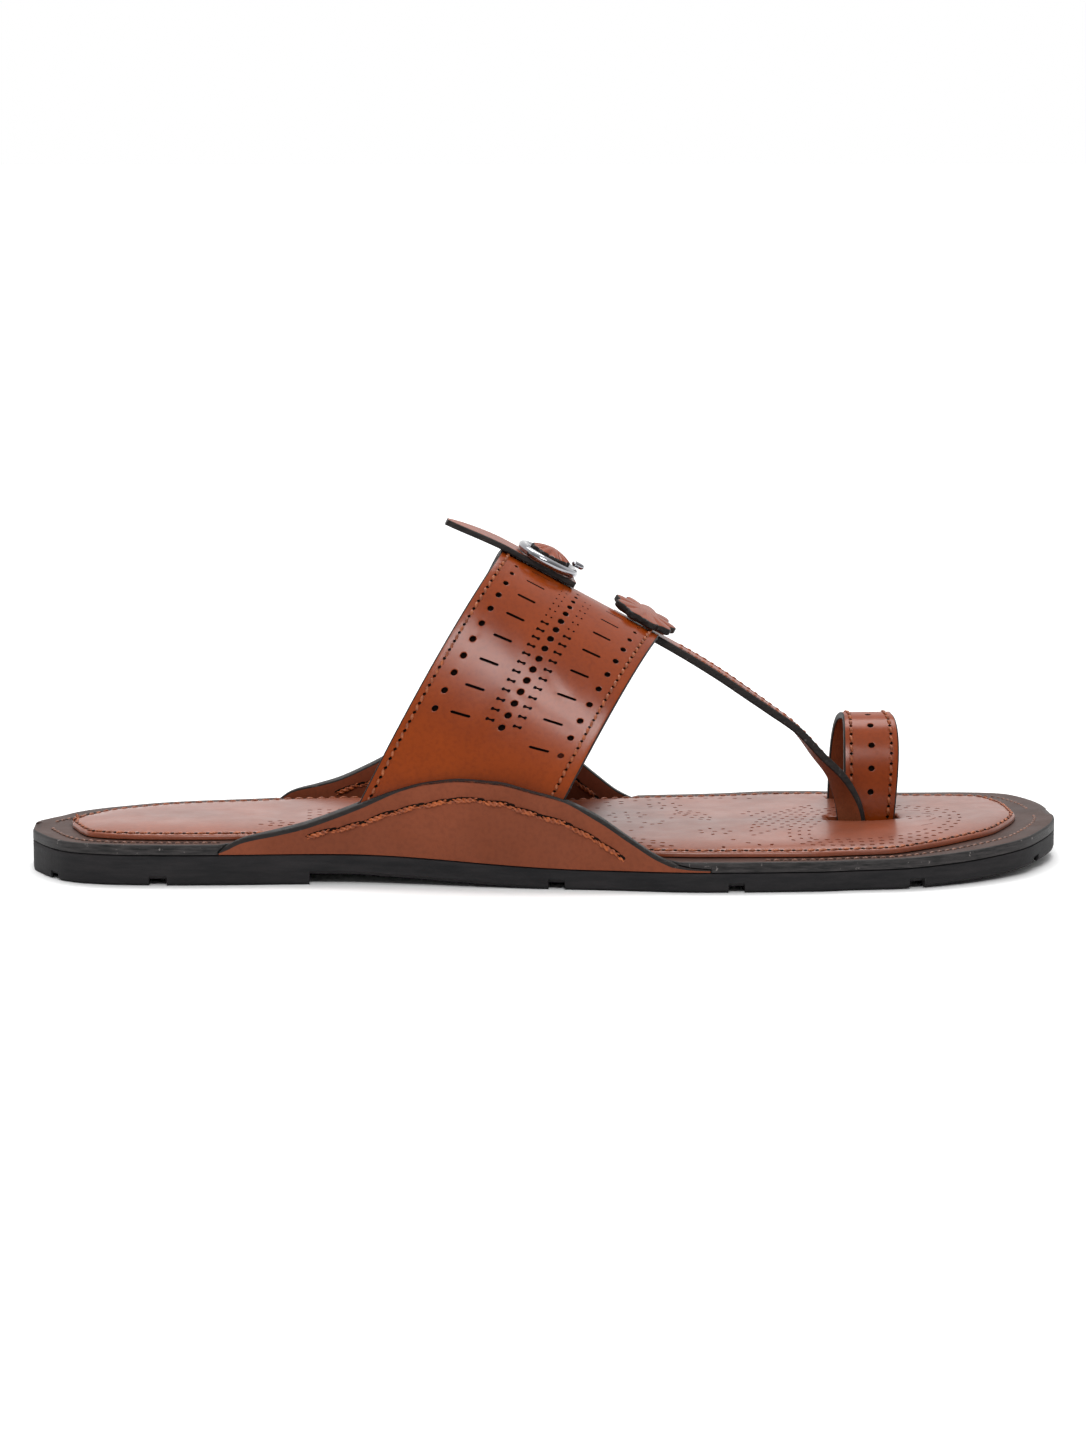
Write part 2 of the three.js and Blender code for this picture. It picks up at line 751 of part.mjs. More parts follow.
function makeBuckleStrap() {
  const frame = buckleFrame();
  const lift = GAP + BUCKLE_STRAP / 2;
  const front = RING_LENGTH / 2;
  const rear = -BUCKLE_SHARE * BAND_WIDTH;
  const stations = [];
  for (let k = 0; k <= STRAP_STEPS; k += 1) {
    const forward = lerp(rear - TAIL_LENGTH, front, k / STRAP_STEPS);
    const past = Math.max(0, rear - forward) / TAIL_LENGTH;
    const narrow = Math.min(past, TAIL_TIP);
    const width = BUCKLE_STRAP_WIDTH * Math.sqrt(1 - narrow * narrow);
    stations.push({
      edge: onCrest(frame, forward, -width / 2, lift - TAIL_DROOP * past ** TAIL_CURVE),
      wide: frame.across,
      width,
      thick: BUCKLE_STRAP,
    });
  }
  return strap(stations);
}

const RING_LIFT = GAP + BUCKLE_STRAP + GAP + RING_WIRE / 2;

function makeBuckleRing() {
  const frame = buckleFrame();
  const halfLength = (RING_LENGTH - RING_WIRE) / 2;
  const halfWidth = (RING_WIDTH - RING_WIRE) / 2;
  const power = 2 / RING_POWER;
  const at = (turn) => {
    const c = Math.cos(turn);
    const s = Math.sin(turn);
    const forward = halfLength * Math.sign(c) * Math.abs(c) ** power;
    const across = halfWidth * Math.sign(s) * Math.abs(s) ** power;
    return onCrest(frame, forward, across, RING_LIFT);
  };
  const rings = [];
  for (let k = 0; k < WIRE_STEPS; k += 1) {
    const turn = (2 * Math.PI * k) / WIRE_STEPS;
    const step = Math.PI / WIRE_STEPS;
    const run = at(turn + step).sub(at(turn - step)).normalize();
    const side = new THREE.Vector3().crossVectors(run, frame.out).normalize();
    rings.push(Array.from({ length: WIRE_SIDES }, (_, i) => {
      const spin = (2 * Math.PI * i) / WIRE_SIDES;
      return at(turn)
        .addScaledVector(side, (Math.cos(spin) * RING_WIRE) / 2)
        .addScaledVector(frame.out, (Math.sin(spin) * RING_WIRE) / 2);
    }));
  }
  return toSolid(loft(rings, true));
}

const PRONG_LIFT = RING_LIFT + RING_WIRE / 2 + GAP + PRONG / 2;

function makeBuckleProng() {
  const frame = buckleFrame();
  const start = (ROSETTE_LENGTH / 2) * (1 + SCALLOP_DEPTH) + GAP;
  const end = RING_LENGTH / 2 + PRONG / 2;
  const length = end - start;
  const geometry = new THREE.CapsuleGeometry(PRONG / 2, length - PRONG, 3, WIRE_SIDES);
  const place = new THREE.Matrix4().makeBasis(frame.across, frame.forward, frame.out.clone().negate());
  place.setPosition(onCrest(frame, (start + end) / 2, 0, PRONG_LIFT));
  return toSolid(geometry.applyMatrix4(place));
}

// Scalloped disc of leather with a gentle dome, its underside at the given height
function scallopedDisc(frame, length, width, lift) {
  const rim = (turn) => 1 + SCALLOP_DEPTH * Math.cos(SCALLOPS * turn);
  const layer = (share, out) => Array.from({ length: DISC_STEPS }, (_, i) => {
    const turn = (2 * Math.PI * i) / DISC_STEPS;
    const reach = share * (share > 0.5 ? rim(turn) : 1);
    const forward = (length / 2) * reach * Math.cos(turn);
    const across = (width / 2) * reach * Math.sin(turn);
    return onCrest(frame, forward, across, out - ROSETTE_DOME * share * share);
  });
  const under = DISC_SHARES.map((share) => layer(share, lift + ROSETTE_DOME));
  const over = DISC_SHARES.map((share) => layer(share, lift + ROSETTE_DOME + ROSETTE)).reverse();
  return toSolid(loft([...under, ...over]));
}

function stem(frame, centre, low, high) {
  const rings = [low, high].map((out) => Array.from({ length: STEM_SIDES }, (_, i) => {
    const turn = (2 * Math.PI * (i + 0.5)) / STEM_SIDES;
    const forward = centre + (STEM_LENGTH / 2) * Math.cos(turn);
    return onCrest(frame, forward, (STEM_WIDTH / 2) * Math.sin(turn), out);
  }));
  return toSolid(loft(rings));
}

function makeBuckleRosette() {
  const frame = buckleFrame();
  const low = GAP + BUCKLE_STRAP + GAP;
  const disc = scallopedDisc(frame, ROSETTE_LENGTH, ROSETTE_WIDTH, RING_LIFT);
  return disc.add(stem(frame, 0, low, RING_LIFT + ROSETTE));
}

function makeFrontRosette() {
  const frame = crestFrame(TAB_SHARE, TAB_ROLL);
  const lift = GAP + TAB_LIFT;
  const disc = scallopedDisc(frame, TAB_LENGTH, TAB_WIDTH, lift);
  const low = GAP + (Math.sin(TAB_ROLL) * STEM_WIDTH) / 2;
  return disc.add(stem(frame, -STEM_LENGTH / 2, low, lift + ROSETTE));
}

// Finishes

const leather = new THREE.MeshStandardMaterial({ color: 0x96481f, roughness: 0.45, metalness: 0 });
const flapLeather = new THREE.MeshStandardMaterial({ color: 0x82442d, roughness: 0.6, metalness: 0 });
const padLeather = new THREE.MeshStandardMaterial({ color: 0xa05a3a, roughness: 0.5, metalness: 0 });
const boardLeather = new THREE.MeshStandardMaterial({ color: 0x3a2a26, roughness: 0.55, metalness: 0 });
const rubber = new THREE.MeshStandardMaterial({ color: 0x2b2b2c, roughness: 0.8, metalness: 0 });
const chrome = new THREE.MeshStandardMaterial({ color: 0xd0d0d2, roughness: 0.12, metalness: 1 });

const group = new THREE.Group();

function addPiece(name, solid, material) {
  const mesh = new THREE.Mesh(toGeometry(solid), material);
  mesh.name = name;
  group.add(mesh);
}

addPiece('outsole', makeOutsole(), rubber);
addPiece('midsole', makeMidsole(), boardLeather);
addPiece('footbed', makeFootbed(), padLeather);
addPiece('upper', bandStrip().add(makeToeStrap()).add(makeToeLoop()), leather);
addPiece('side_flap_outer', makeFlap(OUTER), flapLeather);
addPiece('side_flap_inner', makeFlap(INNER), flapLeather);
addPiece('buckle_strap', makeBuckleStrap(), leather);
addPiece('buckle_ring', makeBuckleRing(), chrome);
addPiece('buckle_prong', makeBuckleProng(), chrome);
addPiece('buckle_rosette', makeBuckleRosette(), leather);
addPiece('front_rosette', makeFrontRosette(), leather);

// The origin is the middle of the underside of the whole sandal's box
const box = new THREE.Box3().setFromObject(group);
const middle = box.getCenter(new THREE.Vector3());
group.position.set(-middle.x, -middle.y, -box.min.z);

export default group;
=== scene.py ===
# %% [markdown]
# # Kolhapuri sandal
# A kolhapuri is a flat sandal. Three layers make its sole, a punched instep band rises from
# two leather flaps, and a strap runs from the band down to a loop for the big toe. A small
# buckle sits on the crest of the band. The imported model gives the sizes, so it is loaded
# first, and every piece made here stays where its solid is.

# %% Load the frame
import math

import bmesh
import bpy
import numpy as np
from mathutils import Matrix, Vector, geometry


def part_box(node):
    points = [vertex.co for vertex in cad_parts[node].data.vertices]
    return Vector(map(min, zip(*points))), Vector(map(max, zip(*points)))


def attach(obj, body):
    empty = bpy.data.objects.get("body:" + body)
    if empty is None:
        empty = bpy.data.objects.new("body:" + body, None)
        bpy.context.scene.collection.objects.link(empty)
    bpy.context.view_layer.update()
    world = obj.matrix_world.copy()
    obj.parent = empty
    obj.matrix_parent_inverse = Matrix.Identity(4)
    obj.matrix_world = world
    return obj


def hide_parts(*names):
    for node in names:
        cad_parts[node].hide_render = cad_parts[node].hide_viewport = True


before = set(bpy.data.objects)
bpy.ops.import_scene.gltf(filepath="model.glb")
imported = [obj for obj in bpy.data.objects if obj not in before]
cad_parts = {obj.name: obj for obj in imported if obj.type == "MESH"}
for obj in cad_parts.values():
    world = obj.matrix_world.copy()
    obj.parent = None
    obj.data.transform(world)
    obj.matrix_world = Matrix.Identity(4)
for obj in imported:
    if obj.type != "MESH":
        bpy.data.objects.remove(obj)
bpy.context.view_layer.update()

print("solids:", len(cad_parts))

# %% [markdown]
# ## Units and sizes
# The shapes are worked out in millimetres in the shoe's own frame: the heel's back end at
# x = 0, the toe at +X, the big toe side at +Y and the floor at z = 0. The sizes below are the
# ones that the solids were made with.

# %% Sizes of the sandal
MM = 0.001
INNER, OUTER = 1, -1
SOLE_LENGTH, BALL_WIDTH, HEEL_WIDTH = 286, 104.7, 68
HEEL_STACK, BALL_STACK, TOE_SPRING = 11.3, 8.4, 3
MIDSOLE, GAP = 2.7, 0.3
HEEL_STEP, SOLE_CHAMFER = 3, 0.9
GROOVE_DEPTH, GROOVE_WIDTH = 1.9, 4.4
PAD_MARGIN, PAD_HEIGHT, PAD_EDGE, PAD_ROUND = 11, 2.7, 0.8, 12
PAD_FALL = 1.2
SLOT_DIP, SLOT_DIP_REACH = 0.7, 9
BAND_WIDTH, BAND_LEATHER = 50.2, 1.7
BAND_PITCH = math.radians(26)
INSTEP_HEIGHT, INSTEP_PLACE, BAND_DROP, ARCH_POWER = 86.9, 0.456, 2.3, 2.3
FLAP_LAYER, FLAP_LEAN, FLAP_TIP_WALL = 1.2, 0.057, 1.5
FLAP_SPANS = {OUTER: (0.182, 0.643), INNER: (0.23, 0.624)}
FLAP_HEIGHTS = {OUTER: 22.3, INNER: 24.6}
POCKET_EASE, FLANGE_WIDTH = 0.4, 12
TOE_STRAP, TOE_STRAP_WIDTH, TOE_STRAP_FOOT = 2.2, 11, 8
TOE_STRAP_EDGE, TOE_STRAP_TUCK, TOE_STRAP_BESIDE, TOE_STRAP_TILT = 1.5, 1.1, 2.9, 0.22
TAPER_FROM, TAPER_TO, STRAP_OVERLAP, SEW_DEPTH = 0.2, 0.9, 0.26, 1
LOOP_PLACE, LOOP_WIDTH, LOOP_LEATHER, LOOP_SPAN = 0.817, 14.2, 1.8, 35
LOOP_CENTRE, LOOP_HEIGHT, LOOP_LEAN, LOOP_POWER, LOOP_FLARE = 18, 37.8, 1.7, 2.5, 1.5
SLOT_ROOM, SLOT_REAR_ROOM = 1.6, 4.5
BUCKLE_STRAP, BUCKLE_STRAP_WIDTH = 1.7, 17
TAIL_LENGTH, TAIL_DROOP, TAIL_CURVE, TAIL_TIP = 17, 1.8, 1.5, 0.96
RING_LENGTH, RING_WIDTH, RING_WIRE, RING_POWER = 18.5, 24, 2.4, 2.4
PRONG = 1.7
ROSETTE, ROSETTE_LENGTH, ROSETTE_WIDTH, ROSETTE_DOME = 1.8, 11.2, 15.5, 0.6
STEM_LENGTH, STEM_WIDTH = 6, 9.6
TAB_LENGTH, TAB_WIDTH, TAB_LIFT, CREST_ROOM = 18, 21, 1.6, 0.4
SCALLOPS, SCALLOP_DEPTH = 9, 0.09
BUCKLE_SHARE, TAB_SHARE = 0.26, 0.885
BUCKLE_ROLL, TAB_ROLL = math.radians(9), math.radians(11.5)
CREST_TURN = math.radians(84.5)

# %% [markdown]
# ## Tables
# Each table says how one size runs along the shoe. A smooth curve with no overshoot joins
# its rows, so a few rows are enough for an outline.

# %% Tables of the outline, margins, grooves and flaps
def table(columns, rows):
    return [dict(zip(columns, row)) for row in rows]


OUTLINE = table(("along", "outer", "inner"), [
    (0, 0.06, 0.06), (0.007, 0.16, 0.13), (0.021, 0.27, 0.2), (0.038, 0.35, 0.294),
    (0.06, 0.397, 0.365), (0.085, 0.424, 0.418), (0.117, 0.441, 0.476),
    (0.157, 0.453, 0.514), (0.21, 0.456, 0.544), (0.259, 0.456, 0.578),
    (0.41, 0.458, 0.551), (0.542, 0.442, 0.5), (0.633, 0.459, 0.496),
    (0.689, 0.463, 0.508), (0.741, 0.463, 0.531), (0.78, 0.452, 0.527),
    (0.822, 0.447, 0.494), (0.875, 0.41, 0.452), (0.93, 0.333, 0.406),
    (0.955, 0.276, 0.372), (0.976, 0.194, 0.325), (0.991, 0.115, 0.235), (1, 0, 0.085),
])
MARGINS = table(("along", "outer", "inner"), [
    (0, 1, 1), (0.05, 0.68, 0.95), (0.12, 0.57, 0.9), (0.66, 0.56, 0.95), (0.74, 0.49, 1),
    (0.81, 0.5, 0.95), (0.86, 0.72, 0.95), (0.92, 0.95, 1), (1, 1, 1),
])
GROOVES = table(("along", "width", "depth"), [
    (0.024, 0.5, 0.8), (0.124, 1.1, 1), (0.5, 1, 1.05), (0.668, 1, 1), (0.84, 0.95, 0.95),
    (0.968, 0.45, 0.7),
])
FLAP = table(("along", "rise", "wall"), [
    (0, 0.03, 0), (0.02, 0.12, 0.06), (0.05, 0.2, 0.2), (0.12, 0.283, 0.72),
    (0.17, 0.35, 0.97), (0.25, 0.514, 1), (0.36, 0.787, 1), (0.43, 0.92, 1),
    (0.51, 0.989, 1), (0.57, 0.986, 1), (0.64, 0.91, 1), (0.7, 0.835, 1),
    (0.77, 0.655, 1), (0.84, 0.385, 0.8), (0.9, 0.17, 0.4), (0.96, 0.05, 0.1), (1, 0.03, 0),
])
BAND_EDGES = {
    "rear": {"outer_sweep": 8, "inner_sweep": -2.5, "power": 1.6},
    "front": {"outer_sweep": 9.5, "inner_sweep": -1, "power": 1.2},
}
FEET = {"rear": {OUTER: 0.3, INNER: 0.34}, "front": {OUTER: 0.495, INNER: 0.53}}
TOE_STRAP_PATH = table(("along", "down", "across", "turn"), [
    (0, 0, 0, 0), (0.153, 0.096, 0.15, -4), (0.304, 0.199, 0.3, -5), (0.422, 0.286, 0.42, -4),
    (0.54, 0.373, 0.54, -2), (0.676, 0.477, 0.68, 3), (0.794, 0.609, 0.86, 14),
    (0.892, 0.712, 0.94, 32), (0.952, 0.808, 0.97, 48), (0.983, 0.891, 1, 59),
    (1, 1, 1, 64),
])
print("rows of the outline:", len(OUTLINE), "and of a flap's rim:", len(FLAP))


# %% Curves through a table
def follow(rows, column, at, stretch=lambda along: along):
    """Smooth curve through one column of a table, with no overshoot between its rows."""
    xs = stretch(np.array([row["along"] for row in rows], float))
    ys = np.array([row[column] for row in rows], float)
    x = np.clip(stretch(np.asarray(at, float)), xs[0], xs[-1])
    i = np.clip(np.searchsorted(xs, x) - 1, 0, len(xs) - 2)
    slope = np.diff(ys) / np.diff(xs)
    before, after = slope[:-1], slope[1:]
    total = np.where(before * after > 0, before + after, 1)
    middle = np.where(before * after > 0, 2 * before * after / total, 0)
    tangent = np.concatenate([slope[:1], middle, slope[-1:]])
    span = xs[i + 1] - xs[i]
    u = (x - xs[i]) / span
    rise = u * u * (3 - 2 * u)
    leave = u * (1 - u) ** 2 * span * tangent[i]
    arrive = u * u * (u - 1) * span * tangent[i + 1]
    return ys[i] + (ys[i + 1] - ys[i]) * rise + leave + arrive


def blend_between(a, b, share):
    return a + (b - a) * share


def smoothstep(x, low, high):
    t = np.clip((x - low) / (high - low), 0, 1)
    return t * t * (3 - 2 * t)


print("rise of a flap's rim half way along:", follow(FLAP, "rise", 0.5).round(3))

# %% [markdown]
# ## The sole's outline and heights
# The outline could be a drawn curve, but the layers, the footbed's rim and the seams all need
# it again at their own insets, so it is a function of the place along the sole. A cosine
# spreads the stations, so they lie close together at the round heel and toe ends.

# %% Functions of the sole
WAIST_FROM, WAIST_TO = 0.25, 0.65
STACK_FROM, STACK_TO, SPRING_FROM = 0.297, 0.542, 0.752
BREAST, ARCH_FLAT, ARCH_END = 0.2675, 0.31, 0.49
FINE_STEP = 1e-3
SIDE_NAMES = {INNER: "inner", OUTER: "outer"}


def around_ends(along):
    return np.arccos(np.clip(1 - 2 * along, -1, 1)) / math.pi


def from_turn(turn):
    return (1 - np.cos(math.pi * np.asarray(turn, float))) / 2


def edge_y(side, x):
    along = np.clip(np.asarray(x, float) / SOLE_LENGTH, 0, 1)
    width = blend_between(HEEL_WIDTH, BALL_WIDTH, smoothstep(along, WAIST_FROM, WAIST_TO))
    return side * width * follow(OUTLINE, SIDE_NAMES[side], along, around_ends)


def spring_z(x):
    past = np.maximum(0, np.asarray(x, float) / SOLE_LENGTH - SPRING_FROM)
    return TOE_SPRING * (past / (1 - SPRING_FROM)) ** 2


def top_z(x):
    share = smoothstep(np.asarray(x, float) / SOLE_LENGTH, STACK_FROM, STACK_TO)
    return blend_between(HEEL_STACK, BALL_STACK, share) + spring_z(x)


def midsole_z(x):
    return top_z(x) - MIDSOLE


def outsole_z(x):
    return midsole_z(x) - GAP


def outline_point(side, turn, inset=0):
    """Points of the outline, moved inwards by an inset: one row of x and y for each turn."""
    def at(s):
        x = SOLE_LENGTH * from_turn(s)
        return np.stack([x, edge_y(side, x)], -1)

    turn = np.asarray(turn, float)
    tangent = at(np.minimum(1, turn + FINE_STEP)) - at(np.maximum(0, turn - FINE_STEP))
    tangent /= np.linalg.norm(tangent, axis=-1, keepdims=True)
    inward = np.stack([tangent[..., 1], -tangent[..., 0]], -1) * side
    return at(turn) + inward * np.broadcast_to(inset, turn.shape)[..., None]


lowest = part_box("outsole")[0] / MM
widest = edge_y(OUTER, SOLE_LENGTH * from_turn(np.linspace(0, 1, 400))).min()
SHIFT = np.array([lowest.x, lowest.y - widest, 0])
print("shoe frame to part frame:", SHIFT.round(2))

# %% [markdown]
# ## From points to a piece
# Modifiers could bend ready-made blocks into these shapes, but most of a sandal is sheets and
# layers with known sections, so every piece is a mesh made from rows of points. `grid_faces`
# joins rows with four-sided faces, `closed_loft` closes both ends, and `add_piece` turns
# points and faces into an object that rides on the sandal.

# %% Helpers for pieces
def grid_faces(rows, columns, wrap_rows=False, wrap_columns=False, start=0):
    i = np.arange(rows if wrap_rows else rows - 1)[:, None]
    j = np.arange(columns if wrap_columns else columns - 1)[None, :]
    near, far = i * columns, ((i + 1) % rows) * columns
    left, right = j, (j + 1) % columns
    quads = np.stack([near + left, near + right, far + right, far + left], -1)
    return (quads.reshape(-1, 4) + start).tolist()


def add_mesh(name, points, faces):
    """An object in metres from points in millimetres, with its faces turned outwards."""
    mesh = bpy.data.meshes.new(name)
    places = (np.asarray(points, float).reshape(-1, 3) + SHIFT) * MM
    mesh.from_pydata(places.tolist(), [], faces)
    work = bmesh.new()
    work.from_mesh(mesh)
    bmesh.ops.recalc_face_normals(work, faces=work.faces)
    work.to_mesh(mesh)
    work.free()
    made = bpy.data.objects.new(name, mesh)
    bpy.context.scene.collection.objects.link(made)
    return made


def add_piece(name, points, faces, looks, nodes=(), sharp=40, face_looks=None):
    piece = add_mesh(name, points, faces)
    mesh = piece.data
    for look in looks:
        mesh.materials.append(look)
    if face_looks is not None:
        mesh.polygons.foreach_set("material_index", np.asarray(face_looks, np.int32))
    mesh.shade_smooth()
    mesh.set_sharp_from_angle(angle=math.radians(sharp))
    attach(piece, "root")
    if nodes:
        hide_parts(*nodes)
    print(name, "faces:", len(mesh.polygons))
    return piece


def closed_loft(rings, start=0):
    """Faces of a closed body from rows of ring points: the skin and a flat cap at each end."""
    rows, columns = rings.shape[:2]
    faces = grid_faces(rows, columns, wrap_columns=True, start=start)
    faces.append(list(range(start, start + columns)))
    last = start + (rows - 1) * columns
    faces.append(list(range(last, last + columns))[::-1])
    return faces


print("faces of a closed body of 3 rings with 4 points:", len(closed_loft(np.zeros((3, 4, 3)))))

# %% [markdown]
# ## Helpers for finishes
# A finish is a small network of nodes. A picture of leather could be wrapped round each piece,
# but noise over the piece's own metres needs no unwrapping and stays sharp close up. These
# helpers add a node, a noise, a ramp of colours and a stack of bumps.

# %% Helpers for finishes
def new_material(name):
    material = bpy.data.materials.new(name)
    material.use_nodes = True
    tree = material.node_tree
    shader = tree.nodes["Principled BSDF"]
    return material, tree, shader


def add_node(tree, kind, **settings):
    node = tree.nodes.new(kind)
    for key, value in settings.items():
        if key in node.inputs:
            node.inputs[key].default_value = value
        else:
            setattr(node, key, value)
    return node


def add_noise(tree, scale, detail=4.0, roughness=0.5, stretch=(1, 1, 1)):
    """Noise over the object's own metres; scale is in waves per metre."""
    where = add_node(tree, "ShaderNodeTexCoord")
    mapping = add_node(tree, "ShaderNodeMapping", Scale=stretch)
    noise = add_node(tree, "ShaderNodeTexNoise", Scale=scale, Detail=detail, Roughness=roughness)
    tree.links.new(where.outputs["Object"], mapping.inputs["Vector"])
    tree.links.new(mapping.outputs["Vector"], noise.inputs["Vector"])
    return noise.outputs["Fac"]


def add_ramp(tree, source, stops):
    ramp = add_node(tree, "ShaderNodeValToRGB")
    elements = ramp.color_ramp.elements
    while len(elements) < len(stops):
        elements.new(0.5)
    for element, (place, colour) in zip(elements, stops):
        element.position = place
        element.color = (*colour, 1) if len(colour) == 3 else colour
    tree.links.new(source, ramp.inputs["Fac"])
    return ramp.outputs["Color"]


def add_bump(tree, shader, layers):
    """Bumps laid over each other: each layer is a height, its depth in metres and strength."""
    normal = None
    for height, depth, strength in layers:
        bump = add_node(tree, "ShaderNodeBump", Strength=strength, Distance=depth)
        tree.links.new(height, bump.inputs["Height"])
        if normal is not None:
            tree.links.new(normal, bump.inputs["Normal"])
        normal = bump.outputs["Normal"]
    tree.links.new(normal, shader.inputs["Normal"])


def grey(value):
    return (value, value, value)


# %% [markdown]
# ## Leather
# Smooth vegetable-tanned leather has a fine grain, cloudy colour and a soft gloss. One
# function makes all the leathers: two noises mix a lighter and a darker tone, a fine noise
# and small cells give the bump, and a thin coat gives the gloss.

# %% Leather
def leather(name, light, dark, gloss, grain=0.5, coat=0.0, coat_gloss=0.2, shine=0.2):
    material, tree, shader = new_material(name)
    clouds = add_noise(tree, 45, detail=5)
    colour = add_ramp(tree, clouds, [(0.34, dark), (0.66, light)])
    specks = add_noise(tree, 900, detail=3)
    shade = add_ramp(tree, specks, [(0.3, grey(0.78)), (0.55, grey(1.0))])
    mix = add_node(tree, "ShaderNodeMix", data_type="RGBA", blend_type="MULTIPLY")
    mix.inputs["Factor"].default_value = 0.6
    tree.links.new(colour, mix.inputs["A"])
    tree.links.new(shade, mix.inputs["B"])
    tree.links.new(mix.outputs["Result"], shader.inputs["Base Color"])
    rough = add_ramp(tree, add_noise(tree, 120), [(0.3, grey(gloss - 0.06)), (0.7, grey(gloss + 0.06))])
    tree.links.new(rough, shader.inputs["Roughness"])
    shader.inputs["Specular IOR Level"].default_value = shine
    shader.inputs["Coat Weight"].default_value = coat
    shader.inputs["Coat Roughness"].default_value = coat_gloss
    cells = add_node(tree, "ShaderNodeTexVoronoi", Scale=1500.0)
    where = add_node(tree, "ShaderNodeTexCoord")
    tree.links.new(where.outputs["Object"], cells.inputs["Vector"])
    add_bump(tree, shader, [
        (add_noise(tree, 90, detail=3), 0.0006, 0.12 * grain),
        (cells.outputs["Distance"], 0.00012, 0.35 * grain),
        (add_noise(tree, 2600, detail=2), 0.00005, 0.4 * grain),
    ])
    return material


# %% [markdown]
# ## Edge paint and thread
# Cut edges are painted by hand, so the paint runs in streaks and is rubbed off in spots. The
# thread is waxed and twisted. Its strands are as fine as hair, so they are bump alone.

# %% Edge paint and thread
def painted_edge(name, light, dark, gloss=0.5, wear=0.35):
    """Edge paint over cut leather: dark, with streaks along the layers and rubbed spots."""
    material, tree, shader = new_material(name)
    shader.inputs["Specular IOR Level"].default_value = 0.2
    streaks = add_noise(tree, 160, detail=6, roughness=0.65, stretch=(1, 1, 9))
    colour = add_ramp(tree, streaks, [(0.35, dark), (0.72, light)])
    rubbed = add_ramp(tree, add_noise(tree, 420, detail=6, roughness=0.7), [
        (0.62, grey(0.0)), (0.72, grey(wear)),
    ])
    mix = add_node(tree, "ShaderNodeMix", data_type="RGBA")
    mix.inputs["B"].default_value = (0.28, 0.25, 0.24, 1)
    tree.links.new(rubbed, mix.inputs["Factor"])
    tree.links.new(colour, mix.inputs["A"])
    tree.links.new(mix.outputs["Result"], shader.inputs["Base Color"])
    rough = add_ramp(tree, streaks, [(0.3, grey(gloss - 0.08)), (0.7, grey(gloss + 0.15))])
    tree.links.new(rough, shader.inputs["Roughness"])
    add_bump(tree, shader, [
        (streaks, 0.0004, 0.35),
        (add_noise(tree, 1400, detail=4), 0.0001, 0.4),
    ])
    return material


def thread(name, light, dark):
    """Waxed thread: fine twisted strands show as a slanting wave in the bump."""
    material, tree, shader = new_material(name)
    colour = add_ramp(tree, add_noise(tree, 700, detail=4), [(0.35, dark), (0.65, light)])
    tree.links.new(colour, shader.inputs["Base Color"])
    shader.inputs["Roughness"].default_value = 0.5
    where = add_node(tree, "ShaderNodeTexCoord")
    strands = add_node(tree, "ShaderNodeTexWave", Scale=700.0, Distortion=1.5)
    strands.bands_direction = "DIAGONAL"
    tree.links.new(where.outputs["Object"], strands.inputs["Vector"])
    add_bump(tree, shader, [(strands.outputs["Fac"], 0.0001, 0.5)])
    return material


# %% [markdown]
# ## Rubber and metal
# The outsole is matt rubber with long rub marks, and its tread has fine ribs that no side view
# shows, so they are bump. The buckle is polished, and faint smears in the gloss are all that
# a polished metal needs.

# %% Rubber and metal
def rubber(name, light, dark, tread=False):
    material, tree, shader = new_material(name)
    shader.inputs["Specular IOR Level"].default_value = 0.15
    streaks = add_noise(tree, 60, detail=7, roughness=0.65, stretch=(1, 1, 7))
    colour = add_ramp(tree, streaks, [(0.35, dark), (0.7, light)])
    tree.links.new(colour, shader.inputs["Base Color"])
    rough = add_ramp(tree, streaks, [(0.3, grey(0.55)), (0.7, grey(0.75))])
    tree.links.new(rough, shader.inputs["Roughness"])
    layers = [(streaks, 0.0006, 0.3), (add_noise(tree, 1100, detail=5), 0.00015, 0.5)]
    if tread:
        where = add_node(tree, "ShaderNodeTexCoord")
        ribs = add_node(tree, "ShaderNodeTexWave", Scale=120.0, Distortion=0.0)
        ribs.bands_direction = "X"
        tree.links.new(where.outputs["Object"], ribs.inputs["Vector"])
        layers.insert(0, (ribs.outputs["Fac"], 0.0009, 0.9))
    add_bump(tree, shader, layers)
    return material


def bright_metal(name):
    material, tree, shader = new_material(name)
    shader.inputs["Metallic"].default_value = 1.0
    shader.inputs["Base Color"].default_value = (0.33, 0.33, 0.35, 1)
    smears = add_noise(tree, 300, detail=4)
    rough = add_ramp(tree, smears, [(0.35, grey(0.09)), (0.7, grey(0.2))])
    tree.links.new(rough, shader.inputs["Roughness"])
    add_bump(tree, shader, [(add_noise(tree, 700, detail=3), 0.00004, 0.25)])
    return material
